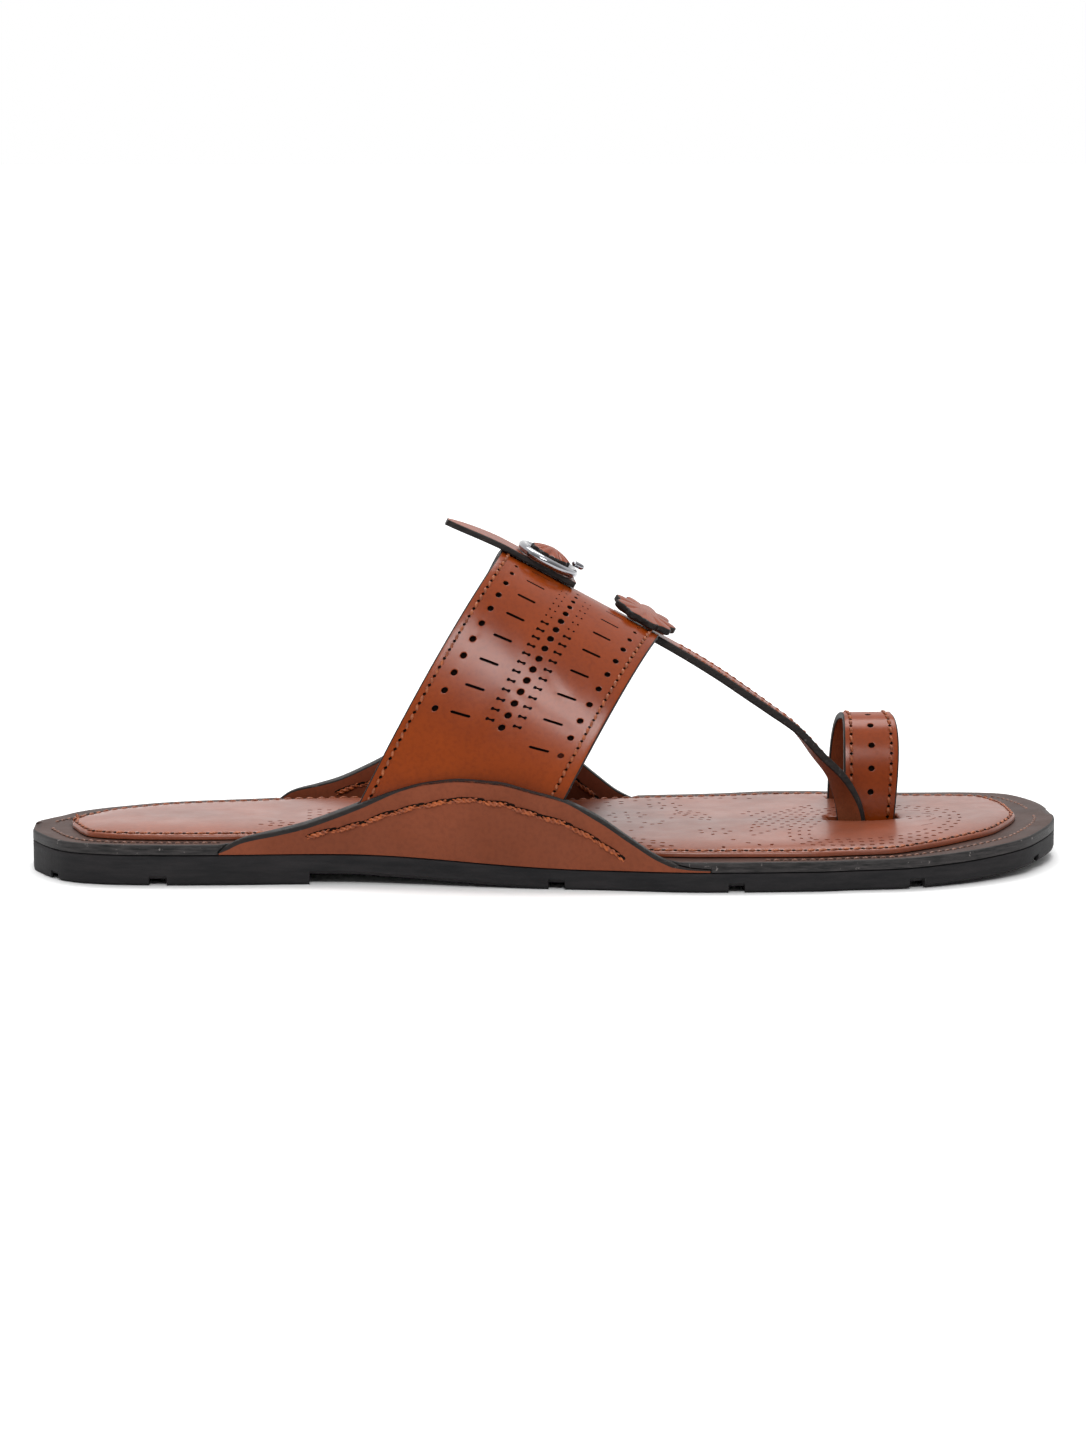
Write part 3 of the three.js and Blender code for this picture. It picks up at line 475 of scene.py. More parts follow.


# %% [markdown]
# ## The sandal's finishes
# The band, straps and loop are a warm, polished tan and the flaps a duller one. The footbed has
# a harder gloss, and the board under it is dark. The foot of the flaps has a lighter copy of the
# flap leather, which is painted light. The walls and floors of the holes and slits, the marks at
# needle holes and the marks along the rope seam are near black, which is painted shade. The
# pressed dashes of the footbed have a darker finish.

# %% The sandal's finishes
band_leather = leather("band_leather", (0.235, 0.037, 0.0025), (0.175, 0.025, 0.0016), 0.6,
                       coat=0.62, coat_gloss=0.25, shine=0.0)
flap_leather = leather("flap_leather", (0.195, 0.047, 0.0185), (0.16, 0.037, 0.0135), 0.6)
# A lighter copy of the flap leather for the flaps' foot, which lies in shade: painted light.
flap_foot_painted_light = leather("flap_foot_painted_light", (0.5, 0.17, 0.08), (0.4, 0.12, 0.055), 0.6)
pad_leather = leather("footbed_leather", (0.24, 0.052, 0.016), (0.17, 0.036, 0.011), 0.4,
                      coat=0.35, shine=0.4)
board_leather = leather("board_leather", (0.06, 0.026, 0.018), (0.038, 0.016, 0.011), 0.5)
flesh_leather = leather("flesh_side", (0.15, 0.05, 0.022), (0.09, 0.03, 0.013), 0.8, grain=1.2)
lining_leather = leather("lining", (0.2, 0.05, 0.016), (0.14, 0.032, 0.01), 0.6, grain=0.9)
# Near black for the floors of the holes and marks, for the marks at needle holes in the board and for
# the marks along the rope seam: painted shade.
painted_shade_black = leather("near_black_painted_shade", (0.012, 0.006, 0.004), (0.007, 0.003, 0.002), 0.8, shine=0.05)
# Near black for the walls of the cuts and for the marks at the needle holes of the footbed and the toe
# strap: painted shade.
painted_cut_shade = leather("punched_edge_painted_shade", (0.02, 0.008, 0.005), (0.012, 0.005, 0.003), 0.75, shine=0.05)
dash_burn = leather("pressed_dash", (0.11, 0.02, 0.009), (0.07, 0.013, 0.006), 0.6, shine=0.05)
edge_paint = painted_edge("edge_paint", (0.024, 0.018, 0.016), (0.007, 0.006, 0.006))
board_edge = painted_edge("board_edge", (0.05, 0.045, 0.045), (0.006, 0.006, 0.006), wear=0.9)
stitch_thread = thread("stitch_thread", (0.34, 0.085, 0.02), (0.16, 0.034, 0.008))
rope_thread = thread("rope_thread", (0.4, 0.09, 0.016), (0.18, 0.034, 0.007))
dark_thread = thread("margin_thread", (0.2, 0.08, 0.045), (0.09, 0.035, 0.02))
outsole_rubber = rubber("outsole_rubber", (0.024, 0.022, 0.023), (0.009, 0.009, 0.01))
tread_rubber = rubber("tread_rubber", (0.024, 0.022, 0.023), (0.009, 0.009, 0.01), tread=True)
bright = bright_metal("bright_metal")
print("finishes:", len(bpy.data.materials))

# %% [markdown]
# ## Outsole and midsole
# The outsole is moulded rubber with a heel block, a step at its breast and channels across it.
# The channels could be cut out with modifiers, but that leaves untidy faces at the round edge.
# So both layers are lofts: a ring of points stands at each station from the heel to the toe.
# Stations come in pairs at each side of a channel and of the breast, so those steps stay sharp.

# %% Sizes along the sole and the flaps
SOLE_STATIONS = 150
STEP_PAIR = 0.02
UNDER_COLUMNS = 14
WALL_ROWS = 6
EDGE_ROUND = 0.5


def flap_range(side):
    start, end = FLAP_SPANS[side]
    return SOLE_LENGTH * start, SOLE_LENGTH * end


def in_flap(side, x):
    start, end = flap_range(side)
    return (x > start - GAP) & (x < end + GAP)


def along_flap(side, x):
    start, end = flap_range(side)
    return np.clip((x - start) / (end - start), 0, 1)


def flap_rise(side, x):
    return FLAP_HEIGHTS[side] * follow(FLAP, "rise", along_flap(side, x))


def flap_wall_width(side, x):
    full = 2 * FLAP_LAYER + BAND_LEATHER + 2 * GAP + POCKET_EASE
    return blend_between(FLAP_TIP_WALL, full, follow(FLAP, "wall", along_flap(side, x)))


def flange_width(side, x):
    return blend_between(FLAP_TIP_WALL, FLANGE_WIDTH, follow(FLAP, "wall", along_flap(side, x)))


def sole_bottom(x):
    """Height of the tread over the floor: heel block, arch, cross channels and toe spring."""
    rise = np.interp(x / SOLE_LENGTH, (ARCH_FLAT, ARCH_END), (HEEL_STEP, 0))
    height = spring_z(x) + np.where(x > BREAST * SOLE_LENGTH, rise, 0)
    for row in GROOVES:
        middle, half = row["along"] * SOLE_LENGTH, row["width"] * GROOVE_WIDTH / 2
        top = spring_z(middle) + row["depth"] * GROOVE_DEPTH
        height = np.where(np.abs(x - middle) < half, np.maximum(height, top), height)
    return height


def stations_with(edges):
    """Stations from heel to toe, with a close pair at each of the given places."""
    xs = SOLE_LENGTH * from_turn(np.linspace(0, 1, SOLE_STATIONS + 1))
    pairs = [edge + shift for edge in edges for shift in (-STEP_PAIR, STEP_PAIR)]
    return np.unique(np.concatenate([xs, pairs]))


# %% Outsole
channel_edges = [
    row["along"] * SOLE_LENGTH + end * row["width"] * GROOVE_WIDTH / 2
    for row in GROOVES for end in (-1, 1)
]
flap_edges = [end + GAP * way for side in (INNER, OUTER)
              for end, way in zip(flap_range(side), (-1, 1))]


def make_outsole():
    xs = stations_with(channel_edges + flap_edges + [BREAST * SOLE_LENGTH])
    turns = around_ends(xs / SOLE_LENGTH)
    bottom = sole_bottom(xs)
    halves = {}
    for side in (OUTER, INNER):
        rows = [(FLANGE_WIDTH, outsole_z(xs)), (0.25, outsole_z(xs))]
        for share in np.linspace(0.03, 1, WALL_ROWS):
            rows.append((0, blend_between(outsole_z(xs), bottom + SOLE_CHAMFER, share)))
        rows.append((SOLE_CHAMFER, bottom))
        reach = np.minimum(1, np.abs(edge_y(side, xs)) / (2 * FLANGE_WIDTH))
        points = []
        for inset, height in rows:
            place = outline_point(side, turns, inset * reach)
            points.append(np.column_stack([place, height]))
        halves[side] = np.stack(points, 1)
    low, high = halves[OUTER][:, -1:], halves[INNER][:, -1:]
    shares = np.linspace(0, 1, UNDER_COLUMNS + 2)[1:-1]
    under = low + (high - low) * shares[None, :, None]
    rings = np.concatenate([halves[OUTER], under, halves[INNER][:, ::-1]], 1)
    faces = closed_loft(rings)
    columns = rings.shape[1]
    wall = len(halves[OUTER][0]) - 1
    tread = [wall <= face[0] % columns < columns - wall - 1 for face in faces]
    return add_piece("rubber_outsole", rings, faces, [outsole_rubber, tread_rubber],
                     ["outsole"], face_looks=tread)


outsole = make_outsole()

# %% [markdown]
# ## Midsole
# A board of thick leather, stained dark, lies on the rubber, and its edge is painted black. It
# is a loft with the outsole's stations. Where a flap's foot is sewn in, the board's edge steps
# in to make room for the foot below and for the flap's wall above.

# %% Midsole
def make_midsole():
    xs = stations_with(flap_edges)
    turns = around_ends(xs / SOLE_LENGTH)
    bends = np.linspace(0, math.pi / 2, 4)
    halves = {}
    for side in (OUTER, INNER):
        beside = in_flap(side, xs)
        wall = np.where(beside, flap_wall_width(side, xs) + GAP, 0)
        flange = np.where(beside, flange_width(side, xs) + GAP, 0)
        crest = midsole_z(xs) + flap_rise(side, xs) + GAP
        open_top = beside & (crest < top_z(xs) - EDGE_ROUND)
        upper = np.where(open_top, 0, wall)
        step_z = np.where(open_top, crest, top_z(xs) - MIDSOLE / 4)
        flange_top = np.minimum(midsole_z(xs) + FLAP_LAYER + GAP, step_z)
        rows = [(upper + EDGE_ROUND + 1.5, top_z(xs))]
        for bend in bends:
            rows.append((upper + EDGE_ROUND * (1 - math.sin(bend)),
                         top_z(xs) - EDGE_ROUND * (1 - math.cos(bend))))
        rows += [(upper, step_z), (wall, step_z), (wall, flange_top), (flange, flange_top),
                 (flange, midsole_z(xs))]
        points = [
            np.column_stack([outline_point(side, turns, inset), height])
            for inset, height in rows
        ]
        halves[side] = np.stack(points, 1)
    rings = np.concatenate([halves[OUTER], halves[INNER][:, ::-1]], 1)
    faces = closed_loft(rings)
    columns = rings.shape[1]
    count = halves[OUTER].shape[1]
    rim = []
    for face in faces:
        column = face[0] % columns
        column = min(column, columns - 2 - column) if column < columns - 1 else 0
        rim.append(1 <= column < count - 1)
    return add_piece("midsole_board", rings, faces, [board_leather, board_edge],
                     ["midsole"], face_looks=rim)


midsole = make_midsole()

# %% [markdown]
# ## Cutting a sheet of leather
# A shoemaker cuts and punches leather flat and then bends it, and the same works here. The
# sheet's outline, its holes and its pressed marks are closed loops in flat millimetres. Holes
# could be drawn into the finish instead, but real ones show their walls from every side. A cut
# is a few nested loops, each with its depth. A ring of flat leather round a hole keeps the
# shading of the face even.

# %% Shapes of the cuts
STILL_RING = 0.12


def capsule_loop(middle, length, width, angle=0.0, steps=4):
    """Closed loop of a slot with round ends; with length equal to width it is a round hole."""
    half = max(length - width, 0) / 2
    bends = np.linspace(-math.pi / 2, math.pi / 2, steps + 1)
    right = np.column_stack([half + np.cos(bends) * width / 2, np.sin(bends) * width / 2])
    loop = np.concatenate([right, -right])
    if half == 0:
        turns = np.arange(2 * steps + 4) * 2 * math.pi / (2 * steps + 4)
        loop = np.column_stack([np.cos(turns), np.sin(turns)]) * width / 2
    c, s = math.cos(angle), math.sin(angle)
    return loop @ np.array([[c, s], [-s, c]]) + np.asarray(middle)


def punched(middle, length, width, angle=0.0, lip=0.12, lip_depth=0.07, steps=4):
    """A hole through the leather, with its rim pressed in a little."""
    still = 2 * lip + 2 * STILL_RING
    return {"open": True, "lip": 2, "rows": [
        (capsule_loop(middle, length + still, width + still, angle, steps), 0.0),
        (capsule_loop(middle, length + 2 * lip, width + 2 * lip, angle, steps), 0.0),
        (capsule_loop(middle, length, width, angle, steps), lip_depth),
    ]}


def pressed(middle, length, width, depth, angle=0.0, slope=0.16, steps=2):
    """A mark pressed into the leather, with a flat floor."""
    return {"open": False, "lip": 0, "rows": [
        (capsule_loop(middle, length, width, angle, steps), 0.0),
        (capsule_loop(middle, length - 2 * slope, width - 2 * slope, angle, steps), depth),
    ]}


def blind(middle, size, depth, lip=0.12, lip_depth=0.07, steps=4):
    """A round hole that the lining closes from below."""
    still = size + 2 * lip + 2 * STILL_RING
    return {"open": False, "lip": 2, "rows": [
        (capsule_loop(middle, still, still, 0, steps), 0.0),
        (capsule_loop(middle, size + 2 * lip, size + 2 * lip, 0, steps), 0.0),
        (capsule_loop(middle, size, size, 0, steps), lip_depth),
        (capsule_loop(middle, size * 0.92, size * 0.92, 0, steps), depth),
    ]}


BONE_SIDE = ((1, 0.4), (0.82, 1), (0.5, 0.9), (0.25, 0.5),
             (-0.25, 0.5), (-0.5, 0.9), (-0.82, 1), (-1, 0.4))


def bone(middle, length, width, depth):
    """Two pricks joined by a thin bar, lying across the strip."""
    side = np.array([(wide, along) for along, wide in BONE_SIDE])
    shape = np.concatenate([side, side[::-1] * (-1, 1)]) / 2
    rows = [(shape * (width, length) + middle, 0.0)]
    rows.append((shape * (width * 0.7, length * 0.88) + middle, depth))
    return {"open": False, "lip": 0, "rows": rows}


print("points round a hole:", len(capsule_loop((0, 0), 2, 2)))

# %% [markdown]
# ## Cut a flat sheet
# A constrained triangulation fills the leather between the loops and keeps every loop's edges.
# Loose points spread over the sheet let it bend smoothly later, and they keep away from the
# cuts. Each triangle is then sorted: leather, hole, floor of a mark, edge or wall of a cut.

# %% Cut a flat sheet
LOOSE_CLEARANCE = 0.5


def inside_loop(points, loop):
    ahead = np.roll(loop, -1, axis=0)
    x, y = points[:, 0, None], points[:, 1, None]
    crossing = (loop[:, 1] > y) != (ahead[:, 1] > y)
    rise = np.where(ahead[:, 1] == loop[:, 1], 1, ahead[:, 1] - loop[:, 1])
    at = loop[:, 0] + (y - loop[:, 1]) * (ahead[:, 0] - loop[:, 0]) / rise
    return (crossing & (x < at)).sum(1) % 2 == 1


def distance_to_loop(points, loop, at_once=4000):
    edge = np.roll(loop, -1, axis=0) - loop
    length = np.maximum((edge ** 2).sum(1), 1e-12)
    best = []
    for first in range(0, len(points), at_once):
        to = points[first:first + at_once, None] - loop
        share = np.clip((to * edge).sum(-1) / length, 0, 1)
        best.append(np.linalg.norm(to - share[..., None] * edge, axis=-1).min(1))
    return np.concatenate(best)


def cut_sheet(edge_rows, cuts, loose):
    """Flat points, triangles, depths, zones of the points and kinds of the triangles. A zone
    is 0 on the face, 1 at the edge and 2 or more in a cut; a kind is 0 face, 1 edge, 2 cut
    or 3 floor."""
    keep = inside_loop(loose, edge_rows[-1][0])
    keep &= distance_to_loop(loose, edge_rows[-1][0]) > LOOSE_CLEARANCE
    loose = loose[keep]
    for cut in cuts:
        low, high = cut["rows"][0][0].min(0), cut["rows"][0][0].max(0)
        near = ((loose > low - LOOSE_CLEARANCE) & (loose < high + LOOSE_CLEARANCE)).all(1)
        loose = loose[~near]
    points, depths, zones, owners, firsts, edges = [], [], [], [], [], []

    def add_loop(loop, depth, zone, owner, first=False):
        start = len(points)
        points.extend(loop.tolist())
        depths.extend([depth] * len(loop))
        zones.extend([zone] * len(loop))
        owners.extend([owner] * len(loop))
        firsts.extend([first] * len(loop))
        edges.extend((start + i, start + (i + 1) % len(loop)) for i in range(len(loop)))

    for i, (loop, depth) in enumerate(edge_rows):
        add_loop(loop, depth, 1, 1 if i == 0 else 0)
    for number, cut in enumerate(cuts):
        last = len(cut["rows"]) - 1
        for i, (loop, depth) in enumerate(cut["rows"]):
            zone = number + 2 if i >= cut["lip"] else 0
            add_loop(loop, depth, zone, number + 2 if i == last else 0, i == 0)
    points.extend(loose.tolist())
    depths.extend([0.0] * len(loose))
    zones.extend([0] * len(loose))
    owners.extend([0] * len(loose))
    firsts.extend([False] * len(loose))
    found = geometry.delaunay_2d_cdt([Vector(p) for p in points], edges, [], 0, 1e-7, True)
    origin = np.array([source[0] if source else -1 for source in found[3]])
    triangles = np.array([face for face in found[2] if len(face) == 3])
    triangles = origin[triangles]
    triangles = triangles[(triangles >= 0).all(1)]
    flat, owners = np.array(points), np.array(owners)
    depths, zones = np.array(depths), np.array(zones)
    same = (owners[triangles] == owners[triangles[:, :1]]).all(1)
    owner = np.where(same, owners[triangles[:, 0]], 0)
    is_open = np.array([False, False] + [cut["open"] for cut in cuts])
    outside = owner == 1
    middles = flat[triangles].mean(1)
    outside[outside] = ~inside_loop(middles[outside], edge_rows[0][0])
    drop = outside | is_open[owner]
    floor = (owner > 1) & ~drop
    alike = (zones[triangles] == zones[triangles[:, :1]]).all(1)
    zone = np.where(alike, zones[triangles[:, 0]], 0)
    beside = np.array(firsts)[triangles].all(1)
    kinds = np.where((zone > 1) & ~beside, 2, np.where(zone == 1, 1, 0))
    kinds = np.where(floor, 3, kinds)
    return flat, triangles[~drop], depths, zones, kinds[~drop]


# %% [markdown]
# ## Bend a sheet
# A function gives the place on the sandal of every flat point at its depth. The face and the
# back are the same triangles at two depths, and walls join them along every open border.

# %% Bend a sheet
def bend_sheet(name, sheet, place, thickness, looks, nodes=(), sharp=40):
    """Bends a flat sheet onto its place and gives it its thickness.
    looks are the materials of the face, the cut edge, the cuts, the floors and the back."""
    flat, triangles, depths, zones, kinds = sheet
    over = place(flat, depths)
    edge_depth = np.where(zones == 1, depths, 0)
    under = place(flat, thickness - edge_depth)
    count = len(flat)
    ends = np.concatenate([triangles[:, [0, 1]], triangles[:, [1, 2]], triangles[:, [2, 0]]])
    pairs = np.sort(ends, axis=1)
    first, times = np.unique(pairs, axis=0, return_index=True, return_counts=True)[1:]
    border = ends[first[times == 1]]
    walls = np.column_stack([border[:, 1], border[:, 0], border[:, 0] + count, border[:, 1] + count])
    wall_looks = np.where(zones[border[:, 0]] == 1, 1, 2)
    back = triangles[:, ::-1] + count
    faces = triangles.tolist() + walls.tolist() + back.tolist()
    face_looks = np.concatenate([kinds, wall_looks, np.where(kinds == 1, 1, 4)])
    return add_piece(name, np.concatenate([over, under]), faces, looks, nodes, sharp,
                     face_looks)


def band_rectangle(length_low, length_high, wide_low, wide_high, step, insets):
    """Nested loops of a rectangle from its edge inwards; insets are pairs of inset, depth."""
    rows = []
    for inset, depth in insets:
        low = np.array([length_low + inset, wide_low + inset])
        high = np.array([length_high - inset, wide_high - inset])
        along = np.linspace(low[0], high[0], max(2, round((high[0] - low[0]) / step)) + 1)
        across = np.linspace(low[1], high[1], max(2, round((high[1] - low[1]) / step)) + 1)
        rows.append((np.concatenate([
            np.column_stack([along[:-1], np.full(len(along) - 1, low[1])]),
            np.column_stack([np.full(len(across) - 1, high[0]), across[:-1]]),
            np.column_stack([along[:0:-1], np.full(len(along) - 1, high[1])]),
            np.column_stack([np.full(len(across) - 1, low[0]), across[:0:-1]]),
        ]), depth))
    return rows


def loose_points(low, high, step):
    """A grid of points with every other row moved by half a step."""
    xs = np.arange(low[0] + step[0] / 2, high[0], step[0])
    ys = np.arange(low[1] + step[1] / 2, high[1], step[1])
    x, y = np.meshgrid(xs, ys, indexing="ij")
    x = x + (np.arange(len(ys)) % 2 - 0.5)[None, :] * step[0] / 2
    return np.column_stack([x.ravel(), y.ravel()])


def rounded(radius, steps=3):
    """Inset and depth pairs of a rounded edge, from the edge inwards."""
    bends = np.linspace(0, math.pi / 2, steps + 1)
    return [(radius * (1 - math.cos(b)), radius * (1 - math.sin(b))) for b in bends]


print("rows of a rounded edge:", np.round(rounded(0.4), 2).tolist())

# %% [markdown]
# ## Stitches
# Each stitch is a short, plump length of thread that rises out of one needle hole and dips
# into the next. Thread could be a bump in the leather's finish, but stitches stand up along an
# edge and catch the light. A row of them follows a line on the leather: the line is measured, a
# stitch is set at each step of the pitch, and all the stitches of a row are one mesh. A needle
# hole lies at each end of a stitch: on the band and the loop it is pressed in, and elsewhere a
# small flat dark mark stands for it. Both are near black, which is painted shade.

# %% Rows of stitches
NEEDLE_HOLE = (1.1, 0.95)
NEEDLE_DEPTH = 0.6


def unit(vectors):
    return vectors / np.linalg.norm(vectors, axis=-1, keepdims=True)


def measured(points):
    """Distance along a line of points from its first point to each of them."""
    lengths = np.linalg.norm(np.diff(points, axis=0), axis=1)
    return np.concatenate([[0], np.cumsum(lengths)])


def sew(points, normals, pitch):
    """Middle, direction and outward normal of each stitch along a line of points."""
    measure = measured(points)
    count = max(1, round(measure[-1] / pitch))
    step = measure[-1] / count
    marks = (np.arange(count) + 0.5) * step

    def along(values, at):
        return np.column_stack([np.interp(at, measure, values[:, k]) for k in range(3)])

    run = unit(along(points, marks + step * 0.4) - along(points, marks - step * 0.4))
    out = along(normals, marks)
    out = unit(out - run * (out * run).sum(1, keepdims=True))
    return along(points, marks), run, out


def seam_marks(start, end, pitch):
    """Needle holes at an even pitch, and the middles of the stitches between them."""
    holes = np.linspace(start, end, round((end - start) / pitch) + 1)
    return holes, (holes[1:] + holes[:-1]) / 2


def needle_holes(marks, across):
    return [pressed((at, v), *NEEDLE_HOLE, NEEDLE_DEPTH, slope=0.1) for at, v in zip(marks, across)]


def lay_stitches(place, marks, across):
    """Middle, direction and outward normal of stitches along a row of a bent sheet."""
    flat = np.column_stack([marks, across])
    middle = place(flat, 0.0)
    run = unit(place(flat + (0.5, 0), 0.0) - place(flat - (0.5, 0), 0.0))
    out = place(flat, -1.0) - middle
    return middle, run, unit(out - run * (out * run).sum(1, keepdims=True))


def moved(row, along=0.0, across=0.0):
    """The same places, moved along the seam and across it."""
    middle, run, normal = row
    return middle + run * along + np.cross(normal, run) * across, run, normal


print("stitches on a seam of 30 mm:", len(seam_marks(0, 30, 2.5)[1]))

# %% Thread
BEAD_RINGS, BEAD_SIDES = 9, 8
BEAD_FULLNESS, DROOP_POWER = 0.42, 2.5
PLY_GIRTH, PLY_SWIRL = 0.62, 0.26
chance = np.random.default_rng(7)


def add_beads(name, rows, look, slot, length, width, height, droop=0.5, sink=0.12, plies=1,
              twist=0.0, slant=0.0, loose=0.06):
    """One mesh of small plump beads: stitches, or flat dark ones as painted shade at holes and by the
    rope. droop bends the ends down, and plies and twist turn a stitch into laid rope."""
    turns = np.arange(BEAD_SIDES) * 2 * math.pi / BEAD_SIDES
    along = np.cos(np.linspace(math.pi, 0, BEAD_RINGS if plies == 1 else 2 * BEAD_RINGS))
    girth = (1 - along ** 2)[:, None] ** BEAD_FULLNESS * (1 if plies == 1 else PLY_GIRTH)
    swirl = 0 if plies == 1 else PLY_SWIRL
    shapes = []
    for ply in range(plies):
        phase = 2 * math.pi * ply / plies + twist * math.pi * along[:, None]
        across = (girth * np.cos(turns) / 2 + swirl * np.cos(phase)) * width
        out = (girth * np.sin(turns) / 2 + swirl * np.sin(phase)) * height
        out = out - droop * np.abs(along[:, None]) ** DROOP_POWER
        ahead = np.broadcast_to(along[:, None] * length / 2, across.shape)
        shapes.append(np.stack([ahead, across, out], -1))
    shape = np.concatenate(shapes).reshape(-1, 3)
    middles, runs, outs = (np.concatenate(part) for part in zip(*rows))
    sides = np.cross(outs, runs)
    swing = slant + chance.normal(0, loose, len(middles))[:, None]
    runs, sides = (runs * np.cos(swing) + sides * np.sin(swing),
                   sides * np.cos(swing) - runs * np.sin(swing))
    stretch = (1 + chance.normal(0, loose, len(middles)))[:, None, None]
    base = middles + outs * (height / 2 - sink)
    points = (base[:, None] + runs[:, None] * shape[None, :, :1] * stretch
              + sides[:, None] * shape[None, :, 1:2] + outs[:, None] * shape[None, :, 2:])
    faces, size = [], len(along) * BEAD_SIDES
    for number in range(len(middles) * plies):
        faces += grid_faces(len(along), BEAD_SIDES, wrap_columns=True, start=number * size)
        faces.append([number * size + k for k in range(BEAD_SIDES)])
        faces.append([number * size + size - 1 - k for k in range(BEAD_SIDES)])
    return add_piece(name, points, faces, [look], sharp=180)


print("points of a stitch:", BEAD_RINGS * BEAD_SIDES)

# %% [markdown]
# ## Places of the toe loop and its slots
# The loop and the toe strap pass through two slots in the footbed, so their places are
# needed before the footbed is cut.

# %% Places of the loop
def loop_x(lift):
    return LOOP_PLACE * SOLE_LENGTH + LOOP_LEAN * lift


def loop_foot_y(side):
    return LOOP_CENTRE + side * LOOP_SPAN / 2


def slot_boxes():
    """Low and high corner of each slot, seen from above."""
    back = loop_x(0) - LOOP_WIDTH / 2
    front = loop_x(0) + LOOP_WIDTH / 2 + GAP + LOOP_LEAN / 2
    inner, outer = loop_foot_y(INNER), loop_foot_y(OUTER)
    return [
        ((back - SLOT_REAR_ROOM, outer - TOE_STRAP_BESIDE - SLOT_ROOM),
         (front, outer + LOOP_LEATHER + SLOT_ROOM)),
        ((back - GAP, inner - LOOP_LEATHER - SLOT_ROOM / 2), (front, inner + GAP)),
    ]


print("slots of the footbed:", np.round(slot_boxes(), 1).tolist())

# %% [markdown]
# ## Footbed
# The footbed is a thin foam pad under tan leather. Its rim is pulled down by a row of
# stitches and its middle stands up in a soft crown. Simulated cloth could puff it up, but the
# pad is only 3 mm thick and its marks have to stay crisp, so its crown is a formula: a quarter
# round at the rim, a slow fall to the inner side and a dip at the slot of the toe strap.

# %% Crown of the footbed
PAD_STATIONS = 150
FALL_FROM, FALL_TO = -20, 35


def pad_rim(inset):
    turns = np.linspace(0, 1, PAD_STATIONS + 1)
    sides = []
    for side in (OUTER, INNER):
        margin = PAD_MARGIN * follow(MARGINS, SIDE_NAMES[side], from_turn(turns))
        sides.append(outline_point(side, turns, margin + inset))
    return np.concatenate([sides[0], sides[1][::-1]])


pad_edge = pad_rim(0)


def pad_rise(flat):
    """Height of the crown over the midsole."""
    reach = distance_to_loop(flat, pad_edge)
    short = 1 - np.minimum(reach / PAD_ROUND, 1)
    height = PAD_HEIGHT - PAD_FALL * smoothstep(flat[:, 1], FALL_FROM, FALL_TO)
    crown = PAD_EDGE + (height - PAD_EDGE) * np.sqrt(1 - short ** 2)
    away = np.hypot(flat[:, 0] - loop_x(0), flat[:, 1] - loop_foot_y(OUTER)) / SLOT_DIP_REACH
    return crown - SLOT_DIP * np.exp(-away ** 2)


def on_pad(flat, depth):
    rise = np.maximum(pad_rise(flat) - depth, 0)
    return np.column_stack([flat, top_z(flat[:, 0]) + GAP + rise])


print("crown of the footbed, mm:", pad_rise(np.array([[60.0, 0.0], [200.0, 0.0]])).round(2))

# %% [markdown]
# ## Pattern of the footbed
# The ornament of the footbed is pressed with a small blunt tool, one dash at a time: a paisley
# round the toe loop, leaves, blossoms and dotted lines. The figures are charted in the
# shoe's own millimetres, and a function walks along each of their lines and sets the dashes.
# It walks by distance, so the dashes keep their pitch in every figure.

# %% Figures of the pattern
DASH = (1.7, 1.0)
DASH_DEPTH, DASH_PITCH, DASH_ROOM, PAD_ROOM = 0.45, 2.7, 2.2, 2.6
DOTTED_PITCH, ROW_SPREAD, COLUMN_SHIFT = 4.2, 0.05, 1.2
SCORED_STROKE, SCORED_DEPTH, SCORED_PITCH = (4.6, 0.42), 0.3, 5.0
SCORED_STROKES, SCORED_ROOM = 4, 3.2
ACROSS_SHARE, TURN_SHARE, LEAST_RUN = 0.55, 0.3, 0.01
PAISLEY = ((209, -36), (222, -38.5), (237, -36.5), (249, -28), (257, -13), (258, 1), (251, 12),
           (240, 18), (228, 18), (219, 10), (214, -4), (209, -18))
PAISLEY_ROWS = (0, 2.7, 5.4)
SCORED_LINE = ((246, -20), (250, -10), (250.5, 0), (246, 8), (238, 12))
LONG_LEAF = ((197, -27), (220.7, 23.7), 11)
SIDE_LEAF = ((161, -26), (178, -49), 9)
HEEL_LEAF = ((62, -16), (74, -15), 6)
SMALL_LEAF = ((181, 18), (189, -4), 6)
BLOSSOMS = ((188.4, -43.5, 4.6, 8), (200, -40.5, 3.4, 6), (188, -20, 4.2, 7), (166, 8, 5, 8),
            (178, 24, 4.6, 7), (247, -4, 3, 5), (150, -22, 4.6, 8), (203, 8, 4, 6))
DOTTED_LINES = (((176, -8), (150, 3), (136, 18)), ((190, -30), (196, -36), (206, -44)),
                ((160, 30), (186, 36), (206, 34)), ((120, -12), (132, 2), (140, 18)),
                ((150, -38), (166, -16), (178, 2), (180, 14)), ((206, -22), (214, -4), (216, 14)),
                ((182, -52), (196, -52), (212, -50)), ((140, -4), (156, 18), (170, 32)))
HEEL_COLUMNS = (76.5, 79.2, 82, 84.9, 88)
HEEL_ROWS = (-19, -14.2, -9.4, -4.6, 0.2, 5)
print("blossoms:", len(BLOSSOMS), "dotted lines:", len(DOTTED_LINES))


